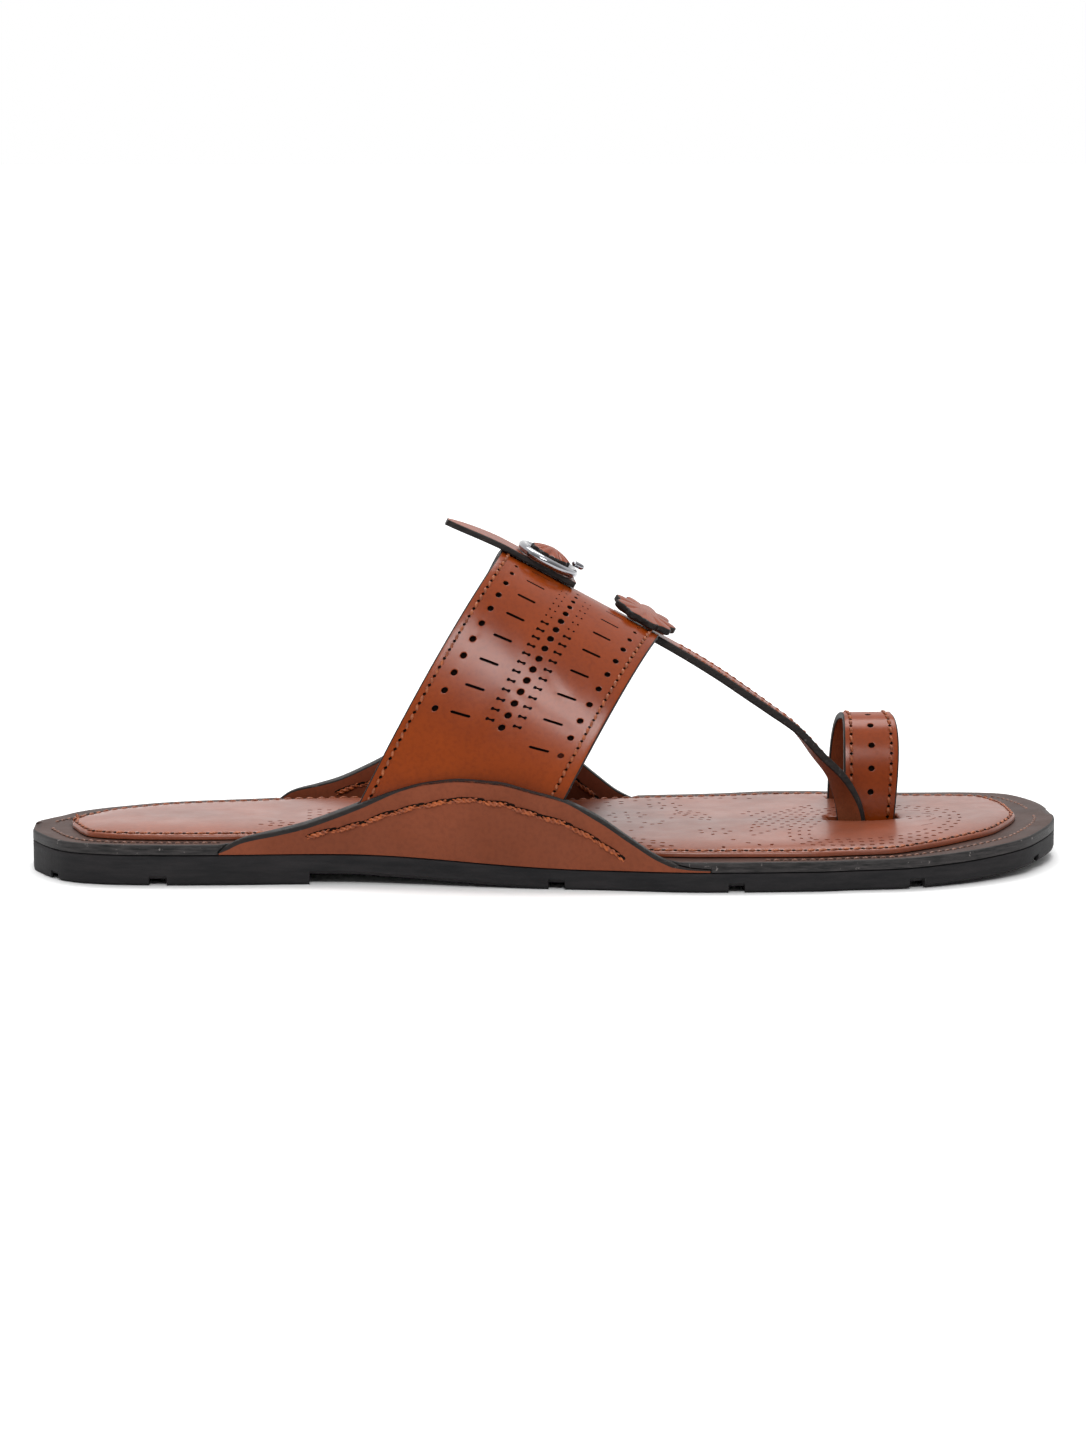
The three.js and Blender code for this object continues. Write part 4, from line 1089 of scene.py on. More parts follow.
# %% Lines of dashes
def walk(points, pitch):
    """Places along a line of points, further apart where it runs across the shoe, as x, y and
    the angle of the dash, which keeps mostly to the shoe's length."""
    points = np.asarray(points, float)
    steps = np.linalg.norm(np.diff(points, axis=0) * (1, ACROSS_SHARE), axis=1)
    measure = np.concatenate([[0], np.cumsum(steps)])
    marks = np.arange(pitch / 2, measure[-1], pitch)
    x, y = (np.interp(marks, measure, points[:, k]) for k in range(2))
    at = np.clip(np.searchsorted(measure, marks) - 1, 0, len(steps) - 1)
    run = np.diff(points, axis=0)[at]
    lean = TURN_SHARE * run[:, 1] / (np.abs(run[:, 0]) + LEAST_RUN) * np.sign(run[:, 0])
    return np.column_stack([x, y, np.arctan(lean)])


def smooth_line(points, closed=False, per_span=8):
    """Smooth curve through points; an open one is carried on straight past its ends."""
    points = np.asarray(points, float)
    before, after = points[-1:], points[:2]
    if not closed:
        before, after = 2 * points[:1] - points[1:2], 2 * points[-1:] - points[-2:-1]
    ring = np.concatenate([before, points, after])
    line = []
    for i in range(1, len(ring) - 2):
        for t in np.arange(per_span) / per_span:
            a, b, c, d = ring[i - 1:i + 3]
            line.append(0.5 * (2 * b + (c - a) * t + (2 * a - 5 * b + 4 * c - d) * t ** 2
                               + (3 * b - a - 3 * c + d) * t ** 3))
    line.append(ring[-2])
    return np.array(line)


def inward(line, inset):
    """A closed line, moved to its inner side."""
    run = unit(np.gradient(line, axis=0))
    side = np.column_stack([-run[:, 1], run[:, 0]])
    middle = line.mean(0)
    side *= np.sign(((middle - line) * side).sum(1, keepdims=True))
    return line + side * inset


def leaf_strokes(start, end, width):
    """Outline of a leaf, a shorter inner outline and its vein."""
    start, end = np.array(start, float), np.array(end, float)
    side = np.array([start[1] - end[1], end[0] - start[0]])
    side /= np.linalg.norm(side)
    t = np.linspace(0, 1, 20)[:, None]
    strokes = [start + (end - start) * np.linspace(0.25, 1, 12)[:, None]]
    for share, trim in ((1, 0), (0.55, 0.12)):
        for way in (-1, 1):
            along = trim + (1 - 2 * trim) * t
            bulge = np.sin(math.pi * along) * width / 2 * share * way
            strokes.append(start + (end - start) * along + side * bulge)
    return strokes


def pad_pattern():
    """Every dash of the chart: its x, y and angle."""
    dashes = []
    outline = smooth_line(PAISLEY, closed=True)
    for inset in PAISLEY_ROWS:
        dashes.append(walk(inward(outline, inset), DASH_PITCH + inset * ROW_SPREAD))
    for leaf in (LONG_LEAF, SIDE_LEAF, HEEL_LEAF, SMALL_LEAF):
        for stroke in leaf_strokes(*leaf):
            dashes.append(walk(stroke, DASH_PITCH))
    for x, y, size, petals in BLOSSOMS:
        angles = np.arange(petals) * 2 * math.pi / petals
        round_x, round_y = x + size * np.cos(angles), y + size * np.sin(angles)
        dashes.append(np.column_stack([round_x, round_y, angles]))
        dashes.append(np.array([[x, y, 0.0]]))
    for line in DOTTED_LINES:
        dashes.append(walk(smooth_line(line), DOTTED_PITCH))
    for i, x in enumerate(HEEL_COLUMNS):
        rows = HEEL_ROWS[i // 2:]
        dashes.append(np.array([[x, y + COLUMN_SHIFT * (i % 2), 0.0] for y in rows]))
    return np.concatenate(dashes)


print("dashes in the chart:", len(pad_pattern()))


# %% Footbed
PAD_RIM_ROWS = ((0.0, 0.35), (0.12, 0.12), (0.4, 0.0))
SLOT_BEVEL, SLOT_BEVEL_DEPTH = 0.6, 0.35
PAD_LOOSE = (3.0, 2.2)
PAD_UNDERSIDE, DEEPEST_MARK = 100.0, 2


def rectangle_loop(low, high, step=1.5):
    """Closed loop of points around a rectangle."""
    return band_rectangle(low[0], high[0], low[1], high[1], step, [(0, 0)])[0][0]


def pad_dashes():
    """The scored line, and every dash of the chart that has room on the footbed."""
    cuts = [pressed((x, y), *SCORED_STROKE, SCORED_DEPTH, angle, steps=2)
            for x, y, angle in walk(smooth_line(SCORED_LINE), SCORED_PITCH)]
    kept = np.array([cut["rows"][0][0].mean(0) for cut in cuts])
    pattern = pad_pattern()
    clear = inside_loop(pattern[:, :2], pad_edge)
    clear &= distance_to_loop(pattern[:, :2], pad_edge) > PAD_ROOM
    for low, high in slot_boxes():
        low, high = np.array(low) - DASH_ROOM, np.array(high) + DASH_ROOM
        clear &= ~((pattern[:, :2] > low) & (pattern[:, :2] < high)).all(1)
    for x, y, angle in pattern[clear]:
        near = np.hypot(*(kept - (x, y)).T)
        if near.min() > DASH_ROOM and near[:SCORED_STROKES].min() > SCORED_ROOM:
            kept = np.concatenate([kept, [(x, y)]])
            cuts.append(pressed((x, y), *DASH, DASH_DEPTH, angle))
    print("pressed dashes:", len(cuts))
    return cuts


def make_footbed():
    edge = [(pad_rim(inset), depth) for inset, depth in PAD_RIM_ROWS]
    cuts = []
    for low, high in slot_boxes():
        low, high = np.array(low), np.array(high)
        cuts.append({"open": True, "lip": 0, "rows": [
            (rectangle_loop(low - SLOT_BEVEL, high + SLOT_BEVEL), 0.0),
            (rectangle_loop(low, high), SLOT_BEVEL_DEPTH),
        ]})
    cuts += pad_dashes()
    low, high = pad_edge.min(0), pad_edge.max(0)
    sheet = cut_sheet(edge, cuts, loose_points(low, high, PAD_LOOSE))

    def place(flat, depth):
        """The face lies on the crown, and what is deeper than any mark on the midsole."""
        below = np.asarray(depth) > DEEPEST_MARK
        laid = on_pad(flat, np.where(below, 0, depth))
        laid[:, 2] = np.where(below, top_z(flat[:, 0]) + GAP, laid[:, 2])
        return laid

    looks = [pad_leather, pad_leather, pad_leather, dash_burn, flesh_leather]
    piece = bend_sheet("footbed_pad", sheet, place, PAD_UNDERSIDE, looks,
                       ["footbed"], sharp=50)
    return piece


footbed = make_footbed()

# %% [markdown]
# ## Stitches of the sole
# One row sews the footbed down round its rim. A finer row runs round the margin of the board
# and holds the layers together. The flaps cover it along the middle of the sole, so it is sewn
# in two parts at each side, one at the heel and one at the toe.

# %% Stitches of the sole
PAD_SEAM_INSET, PAD_PITCH = 1.1, 3.2
MARGIN_SEAM, MARGIN_PITCH, PAST_FLAP = 0.5, 2.4, 12
PAD_STITCH, PAD_HOLE_SHADE = (2.6, 0.95, 0.5), (1.1, 0.85, 0.12)
MARGIN_STITCH, MARGIN_HOLE_SHADE = (1.7, 1.0, 0.5), (1.0, 1.2, 0.12)


def closed_line(points):
    return np.concatenate([points, points[:1]])


def sew_sole():
    rim = closed_line(pad_rim(PAD_SEAM_INSET))
    inside = closed_line(pad_rim(PAD_SEAM_INSET + 0.5))
    points = on_pad(rim, 0)
    slope = on_pad(inside, 0) - points
    run = np.gradient(points, axis=0)
    normals = unit(np.cross(run, slope))
    normals *= np.sign(normals[:, 2:])
    row = sew(points, normals, PAD_PITCH)
    add_beads("pad_stitches", [row], stitch_thread, "footbed_leather", *PAD_STITCH, droop=0.3,
              slant=0.16)
    # Flat dark marks between the stitches: painted shade of the needle holes.
    add_beads("pad_needle_hole_shade", [moved(row, along=PAD_PITCH / 2)], painted_cut_shade,
              "footbed_leather", *PAD_HOLE_SHADE, droop=0, sink=0.04)
    turns = np.linspace(0, 1, PAD_STATIONS + 1)
    for side in (OUTER, INNER):
        margin = PAD_MARGIN * follow(MARGINS, SIDE_NAMES[side], from_turn(turns)) * MARGIN_SEAM
        flat = outline_point(side, turns, margin)
        flap_from, flap_to = flap_range(side)
        for keep in (flat[:, 0] < flap_from, flat[:, 0] > flap_to + PAST_FLAP):
            line = np.column_stack([flat, top_z(flat[:, 0])])[keep]
            up = np.tile((0.0, 0.0, 1.0), (len(line), 1))
            part = "heel" if line[0, 0] < flap_from else "toe"
            row = sew(line, up, MARGIN_PITCH)
            place = part + "_" + SIDE_NAMES[side]
            add_beads("margin_stitches_" + place, [row], dark_thread, "board_leather",
                      *MARGIN_STITCH, droop=0.3)
            # Flat dark marks between the stitches: painted shade of the needle holes.
            add_beads("margin_hole_shade_" + place, [moved(row, along=MARGIN_PITCH / 2)], painted_shade_black,
                      "board_leather", *MARGIN_HOLE_SHADE, droop=0, sink=0.04)


sew_sole()

# %% [markdown]
# ## Instep band
# The band is one wide piece of leather, bent over the foot. Its shape could be sculpted, but
# leather bends one way only, so two arches and straight lines between them describe it: one
# arch at the rear edge and one at the front, both in planes that lean back. The flat sheet is
# measured along the middle of the band from its crest, so a row of holes stays in line.

# %% Shape of the band
def band_foot_y(side, x):
    half_way = FLAP_HEIGHTS[side] / 2
    return edge_y(side, x) - side * (FLAP_LAYER + GAP + FLAP_LEAN * half_way)


def band_edge(name):
    feet = FEET[name]
    inner = band_foot_y(INNER, feet[INNER] * SOLE_LENGTH)
    outer = band_foot_y(OUTER, feet[OUTER] * SOLE_LENGTH)
    crest_x = INSTEP_PLACE * SOLE_LENGTH
    along = crest_x * math.cos(BAND_PITCH) - INSTEP_HEIGHT * math.sin(BAND_PITCH)
    crest = crest_x * math.sin(BAND_PITCH) + INSTEP_HEIGHT * math.cos(BAND_PITCH)
    rear = name == "rear"
    return {
        **BAND_EDGES[name],
        "along": along if rear else along + BAND_WIDTH,
        "crest": crest if rear else crest - BAND_DROP,
        "foot_z": midsole_z(feet[OUTER] * SOLE_LENGTH) + FLAP_LAYER + GAP,
        "centre": (inner + outer) / 2,
        "half": (inner - outer) / 2,
    }


def edge_point(edge, turn, room=0.0):
    cosine = np.cos(turn)
    reach = np.abs(cosine) ** (2 / ARCH_POWER) * np.sign(cosine)
    lift = np.abs(np.sin(turn)) ** (2 / ARCH_POWER)
    sweep = np.where(reach > 0, edge["inner_sweep"], edge["outer_sweep"])
    along = edge["along"] - sweep * np.abs(reach) ** edge["power"] + room
    foot_along = edge["along"] - sweep + room
    foot_z = edge["foot_z"] - abs(room)
    base = (foot_z + foot_along * math.sin(BAND_PITCH)) / math.cos(BAND_PITCH)
    up = base + (edge["crest"] - base) * lift
    return np.stack([
        along * math.cos(BAND_PITCH) + up * math.sin(BAND_PITCH),
        edge["centre"] + edge["half"] * reach,
        up * math.cos(BAND_PITCH) - along * math.sin(BAND_PITCH),
    ], -1)


REAR_EDGE, FRONT_EDGE = band_edge("rear"), band_edge("front")


def band_point(turn, share, depth=0.0, room=0.0):
    """Points of the band: turn runs over the arch from the inner to the outer foot, share from
    the rear to the front edge, and depth goes into the leather."""
    turn = np.asarray(turn, float)
    share = np.broadcast_to(share, turn.shape)[..., None]
    depth = np.broadcast_to(depth, turn.shape)[..., None]

    def at(t, s):
        rear, front = edge_point(REAR_EDGE, t, -room), edge_point(FRONT_EDGE, t, room)
        return rear * (1 - s) + front * s

    tangent = (at(np.minimum(turn + FINE_STEP, math.pi), share)
               - at(np.maximum(turn - FINE_STEP, 0), share))
    outward = np.cross(tangent, at(turn, 1) - at(turn, 0))
    outward /= np.linalg.norm(outward, axis=-1, keepdims=True)
    return at(turn, share) - outward * depth


band_turns = np.linspace(0, math.pi, 1441)
band_middle = band_point(band_turns, 0.5)
band_measure = measured(band_middle)
band_measure -= np.interp(math.pi / 2, band_turns, band_measure)
BAND_INNER_END, BAND_OUTER_END = band_measure[0], band_measure[-1]
print("band length, inner and outer half:", BAND_INNER_END.round(1), BAND_OUTER_END.round(1))

# %% [markdown]
# ## Creases
# Wear leaves soft troughs in the leather, each with a low ridge beside it. A noise could make
# them, but real ones lie where the foot bends the leather, so each is placed one by one: one row
# of a table says where its middle is, in flat millimetres, and how it lies.

# %% Creases
RIDGE, RIDGE_BESIDE = 0.35, 1.6
BAND_CREASES = table(("along", "across", "angle", "length", "width", "depth"), [
    (36, 6.2, 2, 9, 0.8, 0.09), (28, 6.2, -2, 6, 0.7, 0.07), (47, 23, 62, 5, 1.0, 0.05),
    (41, 32, 48, 6, 1.1, 0.06), (45, 38, 55, 7, 1.2, 0.07), (38, 40, 35, 5, 1.0, 0.05),
    (50, 31, 70, 5, 1.1, 0.05), (34, 17, 40, 6, 1.1, 0.05), (43, 18, 58, 6, 1.1, 0.06),
    (30, 33, 30, 6, 1.2, 0.05), (52, 41, 65, 5, 1.1, 0.06), (62, 24, 5, 16, 3.0, 0.25),
])
LOOP_CREASES = table(("along", "across", "angle", "length", "width", "depth"), [
    (12, -2.8, 70, 2.4, 0.6, 0.03), (13, 3.2, 62, 2.4, 0.6, 0.03), (18.5, 3.4, 55, 2.2, 0.6, 0.03),
    (34, 0.5, 15, 4.0, 0.7, 0.2), (36, -1, 22, 4.5, 0.7, 0.22), (32, 2.5, 25, 3.0, 0.6, 0.14),
])


def crease_depth(flat, creases):
    """Depth of the soft troughs that wear leaves in the leather."""
    depth = np.zeros(len(flat))
    for row in creases:
        c, s = math.cos(math.radians(row["angle"])), math.sin(math.radians(row["angle"]))
        to = flat - (row["along"], row["across"])
        along, off = to @ (c, s), to @ (-s, c) / row["width"]
        trough = np.exp(-off ** 2) - RIDGE * np.exp(-(off - RIDGE_BESIDE) ** 2)
        depth += row["depth"] * trough * np.exp(-(along / row["length"]) ** 2)
    return depth


def on_band(flat, depth=0.0):
    """Flat millimetres: first from the crest (+ to the outer foot), then from the rear edge."""
    turn = np.interp(flat[:, 0], band_measure, band_turns)
    return band_point(turn, flat[:, 1] / BAND_WIDTH, depth + crease_depth(flat, BAND_CREASES))


print("creases of the band and the loop:", len(BAND_CREASES), len(LOOP_CREASES))

# %% [markdown]
# ## Punch, bend and sew the band
# Seven rows of marks cross the band: holes, slits, a strip of holes between two rows of paired
# pricks with a bar between them, slits again and holes. Near the crest the marks get smaller.
# The lining closes all the holes from below but the last one of the front row. A table gives
# each row, and the pitch grows a little from the crest down, as it does by hand.

# %% Pattern of the band
ROUND_EDGE = 0.4
HOLE, CENTRE_HOLE, PRICK = 1.75, 1.95, 0.5
SLIT_LENGTH, SLIT_WIDTH = 5.8, 0.75
SLIT_SLOPE = 0.1
BONE_LENGTH, BONE_WIDTH, BONE_DEPTH, BONE_ENDS = 2.5, 1.0, 0.6, 0.32
PRICK_LIP = 0.06
HOLE_DEPTH, SLIT_DEPTH = 1.3, 0.9
SMALL_TO, GROWN_AT, SMALL_SHARE = 2, 24, 0.5
BAND_ROWS = table(("kind", "across", "drift", "first", "pitch", "growth", "count"), [
    ("hole", 5.7, 1.6, 4.5, 4.6, 0.022, 12),
    ("slit", 13.1, 0.9, 6.9, 6.45, 0.11, 8),
    ("bone", 21.0, 1.0, 7.2, 2.42, 0.018, 19),
    ("centre", 24.6, 1.5, 5.6, 3.2, 0.019, 16),
    ("bone", 28.3, 1.6, 8.9, 2.85, 0.0078, 17),
    ("slit", 36.5, 1.5, 6.8, 6.35, 0.2, 8),
    ("open", 44.2, -0.9, 6.1, 4.85, 0.067, 11),
])
SEAM_PITCH, SEAM_FROM_FOOT = 2.5, 4
REAR_SEAM, FRONT_SEAM, FRONT_SEAM_DRIFT = 2.2, 47.4, 1.0


def band_cut(kind, middle, last):
    """Cuts of one mark; near the crest a bone is only its two pricks."""
    size = SMALL_SHARE + (1 - SMALL_SHARE) * smoothstep(abs(middle[0]), SMALL_TO, GROWN_AT)
    if kind == "slit":
        return [pressed(middle, SLIT_LENGTH, SLIT_WIDTH * size, SLIT_DEPTH, math.pi / 2,
                        SLIT_SLOPE)]
    if kind == "bone" and abs(middle[0]) > GROWN_AT:
        return [bone(middle, BONE_LENGTH, BONE_WIDTH, BONE_DEPTH)]
    if kind == "bone":
        return [blind((middle[0], middle[1] + way * BONE_LENGTH * BONE_ENDS),
                      PRICK * (0.7 + size / 2), BONE_DEPTH, lip=PRICK_LIP, steps=2)
                for way in (-1, 1)]
    if kind == "open" and last:
        return [punched(middle, HOLE, HOLE)]
    return [blind(middle, (CENTRE_HOLE if kind == "centre" else HOLE) * size, HOLE_DEPTH)]


def front_seam(along):
    return FRONT_SEAM - FRONT_SEAM_DRIFT * np.abs(along) / BAND_OUTER_END


def band_cuts():
    cuts = []
    for row in BAND_ROWS:
        for side in (INNER, OUTER):
            for k in range(row["count"]):
                at = row["first"] + row["pitch"] * k + row["growth"] * k * k
                across = row["across"] + row["drift"] * at / BAND_OUTER_END
                cuts += band_cut(row["kind"], (-side * at, across), k == row["count"] - 1)
    holes, middles = seam_marks(BAND_INNER_END + SEAM_FROM_FOOT, BAND_OUTER_END - SEAM_FROM_FOOT,
                                SEAM_PITCH)
    cuts += needle_holes(holes, np.full(len(holes), REAR_SEAM))
    cuts += needle_holes(holes, front_seam(holes))
    return cuts


print("cuts in the band:", len(band_cuts()))

# %% Band
BAND_STEP, BAND_LOOSE = 1.4, (1.5, 1.6)
BAND_STITCH = (1.85, 0.85, 0.7)


def make_band():
    edge = band_rectangle(BAND_INNER_END, BAND_OUTER_END, 0, BAND_WIDTH, BAND_STEP,
                          rounded(ROUND_EDGE))
    loose = loose_points((BAND_INNER_END, 0), (BAND_OUTER_END, BAND_WIDTH), BAND_LOOSE)
    sheet = cut_sheet(edge, band_cuts(), loose)
    # The walls and floors of the band's cuts are near black: painted shade.
    looks = [band_leather, edge_paint, painted_cut_shade, painted_shade_black, lining_leather]
    return bend_sheet("instep_band", sheet, on_band, BAND_LEATHER, looks,
                      ["upper"])


def sew_band():
    holes, middles = seam_marks(BAND_INNER_END + SEAM_FROM_FOOT, BAND_OUTER_END - SEAM_FROM_FOOT,
                                SEAM_PITCH)
    rows = [lay_stitches(on_band, middles, np.full(len(middles), REAR_SEAM)),
            lay_stitches(on_band, middles, front_seam(middles))]
    add_beads("band_stitches", rows, stitch_thread, "band_leather", *BAND_STITCH,
              droop=0.45, sink=0.15, slant=0.3)


band = make_band()
sew_band()

# %% [markdown]
# ## Toe loop
# The big toe goes through a stiff loop with a row of holes and a seam along each edge. It is
# cut and bent as the band is, over one arch that is flatter on top and leans to the toe.

# %% Arch of the loop
LOOP_HOLE, LOOP_HOLE_FROM, LOOP_HOLE_PITCH, LOOP_BARE = 1.7, 2.2, 6.7, 9
LOOP_SEAMS, LOOP_PITCH, LOOP_SEAM_END = (-5.2, 5.1), 3.0, 5
loop_base = midsole_z(loop_x(0))


def loop_arch(turn, depth):
    half, height = LOOP_SPAN / 2 - depth, LOOP_HEIGHT - depth - loop_base
    cosine = np.cos(turn)
    reach = np.abs(cosine) ** (2 / LOOP_POWER) * np.sign(cosine)
    lift = np.abs(np.sin(turn)) ** (2 / LOOP_POWER)
    return np.stack([loop_x(lift), LOOP_CENTRE + half * reach, loop_base + height * lift], -1)


loop_turns = np.linspace(0, math.pi, 721)
loop_line = loop_arch(loop_turns, 0)
loop_measure = measured(loop_line)
loop_measure -= loop_measure[-1] / 2
LOOP_END = loop_measure[-1]
print("length of the loop:", (2 * LOOP_END).round(1))


def on_loop(flat, depth=0.0):
    """Flat millimetres: first from the top (+ to the outer foot), then across from the middle."""
    turn = np.interp(flat[:, 0], loop_measure, loop_turns)
    laid = loop_arch(turn, depth + crease_depth(flat, LOOP_CREASES))
    laid[:, 0] += flat[:, 1] * (1 + LOOP_FLARE / LOOP_WIDTH * np.abs(np.sin(2 * turn)))
    return laid


# %% Toe loop
LOOP_STEP, LOOP_LOOSE = 1.0, (1.0, 1.0)
LOOP_STITCH = (2.25, 0.9, 0.7)


def loop_seams():
    holes, middles = seam_marks(-LOOP_END + LOOP_SEAM_END, LOOP_END - LOOP_SEAM_END, LOOP_PITCH)
    return [(holes, middles, across) for across in LOOP_SEAMS]


def make_toe_loop():
    half = LOOP_WIDTH / 2
    edge = band_rectangle(-LOOP_END, LOOP_END, -half, half, LOOP_STEP, rounded(ROUND_EDGE))
    loose = loose_points((-LOOP_END, -half), (LOOP_END, half), LOOP_LOOSE)
    marks = LOOP_HOLE_FROM + LOOP_HOLE_PITCH * np.arange(-6, 7)
    cuts = [blind((mark, 0), LOOP_HOLE, HOLE_DEPTH) for mark in marks
            if abs(mark) < LOOP_END - LOOP_BARE]
    for holes, middles, across in loop_seams():
        cuts += needle_holes(holes, np.full(len(holes), across))
    sheet = cut_sheet(edge, cuts, loose)
    # The walls and floors of the loop's cuts are near black: painted shade.
    looks = [band_leather, edge_paint, painted_cut_shade, painted_shade_black, lining_leather]
    return bend_sheet("toe_loop", sheet, on_loop, LOOP_LEATHER, looks, ["upper"])


def sew_loop():
    rows = [lay_stitches(on_loop, middles, np.full(len(middles), across))
            for holes, middles, across in loop_seams()]
    add_beads("loop_stitches", rows, stitch_thread, "band_leather", *LOOP_STITCH,
              droop=0.45, sink=0.15, slant=0.2)


toe_loop = make_toe_loop()
sew_loop()

# %% [markdown]
# ## Frame on the crest
# The small pieces lie on the band's crest. Turning each object into place would hide where it
# touches the leather, so their points are worked out in a frame of their own there: forward
# along the band's slope, across it, and out of the leather.

# %% Frame on the crest
def crest_frame(share, roll=0.0, room=0.0):
    """Origin and axes on the crest; roll leans them to the outer side, room lifts them."""
    turn = np.array([CREST_TURN])
    origin = band_point(turn, share)[0]
    forward = (band_point(turn, 1) - band_point(turn, 0))[0]
    forward /= np.linalg.norm(forward)
    out = band_point(turn, share, -1)[0] - origin
    out /= np.linalg.norm(out)
    out = out * math.cos(roll) + np.cross(forward, out) * math.sin(roll)
    across = np.cross(out, forward)
    return origin + out * room, np.stack([forward, across / np.linalg.norm(across), out])


def on_crest(place, forward, across, out):
    origin, axes = place
    steps = np.stack(np.broadcast_arrays(forward, across, out), -1)
    return origin + steps @ axes


buckle_place = crest_frame(BUCKLE_SHARE, BUCKLE_ROLL, CREST_ROOM)
tab_place = crest_frame(TAB_SHARE, TAB_ROLL)
print("buckle and tab on the crest:", buckle_place[0].round(1), tab_place[0].round(1))

# %% [markdown]
# ## Toe strap
# The strap is sewn under the band's front edge and twists as it comes down between the toes.
# A curve object with a bevel would twist it evenly, but the real one stays flat for most of
# its way. So a smooth curve runs through its stations, a table gives the turn at each of them,
# and a rounded flat section follows the curve.

# %% Route of the toe strap
STRAP_RINGS = 120
STRAP_ROUND, TWIST_BLEND = 0.5, 12


def centripetal(route, count):
    """Centripetal Catmull-Rom curve through a row of points."""
    first, last = 2 * route[0] - route[1], 2 * route[-1] - route[-2]
    knots = np.concatenate([[first], route, [last]])
    points = []
    for t in np.linspace(0, len(route) - 1, count):
        i = min(int(t), len(route) - 2)
        p = knots[i:i + 4]
        a, b, c = np.diff(p, axis=0)
        gaps = np.maximum(np.linalg.norm([a, b, c], axis=1) ** 0.5, 1e-4)
        leave = a / gaps[0] - (a + b) / (gaps[0] + gaps[1]) + b / gaps[1]
        arrive = b / gaps[1] - (b + c) / (gaps[1] + gaps[2]) + c / gaps[2]
        leave, arrive, w = leave * gaps[1], arrive * gaps[1], t - i
        points.append(p[1] + leave * w + (3 * (p[2] - p[1]) - 2 * leave - arrive) * w ** 2
                      + (2 * (p[1] - p[2]) + leave + arrive) * w ** 3)
    return np.array(points)


def toe_strap_stations():
    """Near edge, run, side, up and width of the strap at each of its rings."""
    place = crest_frame(1)
    inset = BAND_LEATHER + TOE_STRAP / 2 - SEW_DEPTH
    outer = TOE_STRAP_EDGE - TOE_STRAP_WIDTH / 2
    start = on_crest(place, 0, outer, -inset)
    hidden = on_crest(place, -STRAP_OVERLAP * BAND_WIDTH, outer, -inset)
    foot_x = loop_x(0) - TOE_STRAP_TUCK
    foot = np.array([foot_x, loop_foot_y(OUTER) - TOE_STRAP_BESIDE,
                     midsole_z(foot_x) + TOE_STRAP_TILT * TOE_STRAP_FOOT])
    shares = np.array([[row["along"], row["across"], row["down"]] for row in TOE_STRAP_PATH])
    route = np.concatenate([[hidden], start + (foot - start) * shares])
    turns = np.radians([0] + [row["turn"] for row in TOE_STRAP_PATH])
    at = np.linspace(0, len(route) - 1, STRAP_RINGS)
    edge = centripetal(route, STRAP_RINGS)
    turn = np.interp(at, np.arange(len(route)), turns)
    spread = np.hanning(2 * TWIST_BLEND + 1) / TWIST_BLEND
    turn = np.convolve(np.pad(turn, TWIST_BLEND, "edge"), spread, "valid")
    wide = np.column_stack([-np.sin(turn), np.cos(turn), np.zeros(len(turn))])
    run = np.gradient(edge, axis=0)
    run /= np.linalg.norm(run, axis=1, keepdims=True)
    side = wide - run * (wide * run).sum(1, keepdims=True)
    side /= np.linalg.norm(side, axis=1, keepdims=True)
    width = blend_between(TOE_STRAP_WIDTH, TOE_STRAP_FOOT,
                          smoothstep(at / (len(route) - 1), TAPER_FROM, TAPER_TO))
    return edge, run, side, np.cross(run, side), width


print("length of the toe strap:", measured(toe_strap_stations()[0])[-1].round(1))


# %% Toe strap
def rounded_section(width, thick, radius, steps=3, columns=4):
    """Section of a flat strap as across and out, with the look of each span: 0 top, 1 edges,
    2 underside. It starts at the top near across = 0 and runs to the far edge and back."""
    bends = np.linspace(0, math.pi / 2, steps + 1)
    arc = np.column_stack([radius * (1 - np.cos(bends)), thick / 2 - radius * (1 - np.sin(bends))])
    top = [arc, np.column_stack([np.linspace(radius, width - radius, columns + 1)[1:-1],
                                 np.full(columns - 1, thick / 2)]),
           np.column_stack([width - arc[::-1, 0], arc[::-1, 1]])]
    top = np.concatenate(top)
    section = np.concatenate([top, top[::-1] * (1, -1)])
    count, rim = len(section), steps
    kinds = []
    for i in range(count):
        j = i if i < count // 2 else count - 2 - i
        on_edge = i in (count // 2 - 1, count - 1) or j < rim or j >= count // 2 - 1 - rim
        kinds.append(1 if on_edge else (0 if i < count // 2 else 2))
    return section, kinds


def make_toe_strap():
    edge, run, side, up, width = toe_strap_stations()
    rings = []
    for i in range(STRAP_RINGS):
        section, kinds = rounded_section(width[i], TOE_STRAP, STRAP_ROUND)
        rings.append(edge[i] + side[i] * section[:, :1] + up[i] * section[:, 1:])
    rings = np.array(rings)
    faces = closed_loft(rings)
    looks = [kinds[face[0] % len(kinds)] for face in faces[:-2]] + [1, 1]
    return add_piece("toe_strap", rings, faces, [band_leather, edge_paint, lining_leather],
                     ["upper"], face_looks=looks)


toe_strap = make_toe_strap()

# %% Stitches of the toe strap
STRAP_SEAMS, STRAP_SEAM_INSET, STRAP_SEAM_FROM = (0, 1), 1.6, 0.14
STRAP_STITCH, STRAP_HOLE_SHADE = (2.0, 0.7, 0.4), (0.9, 0.8, 0.12)


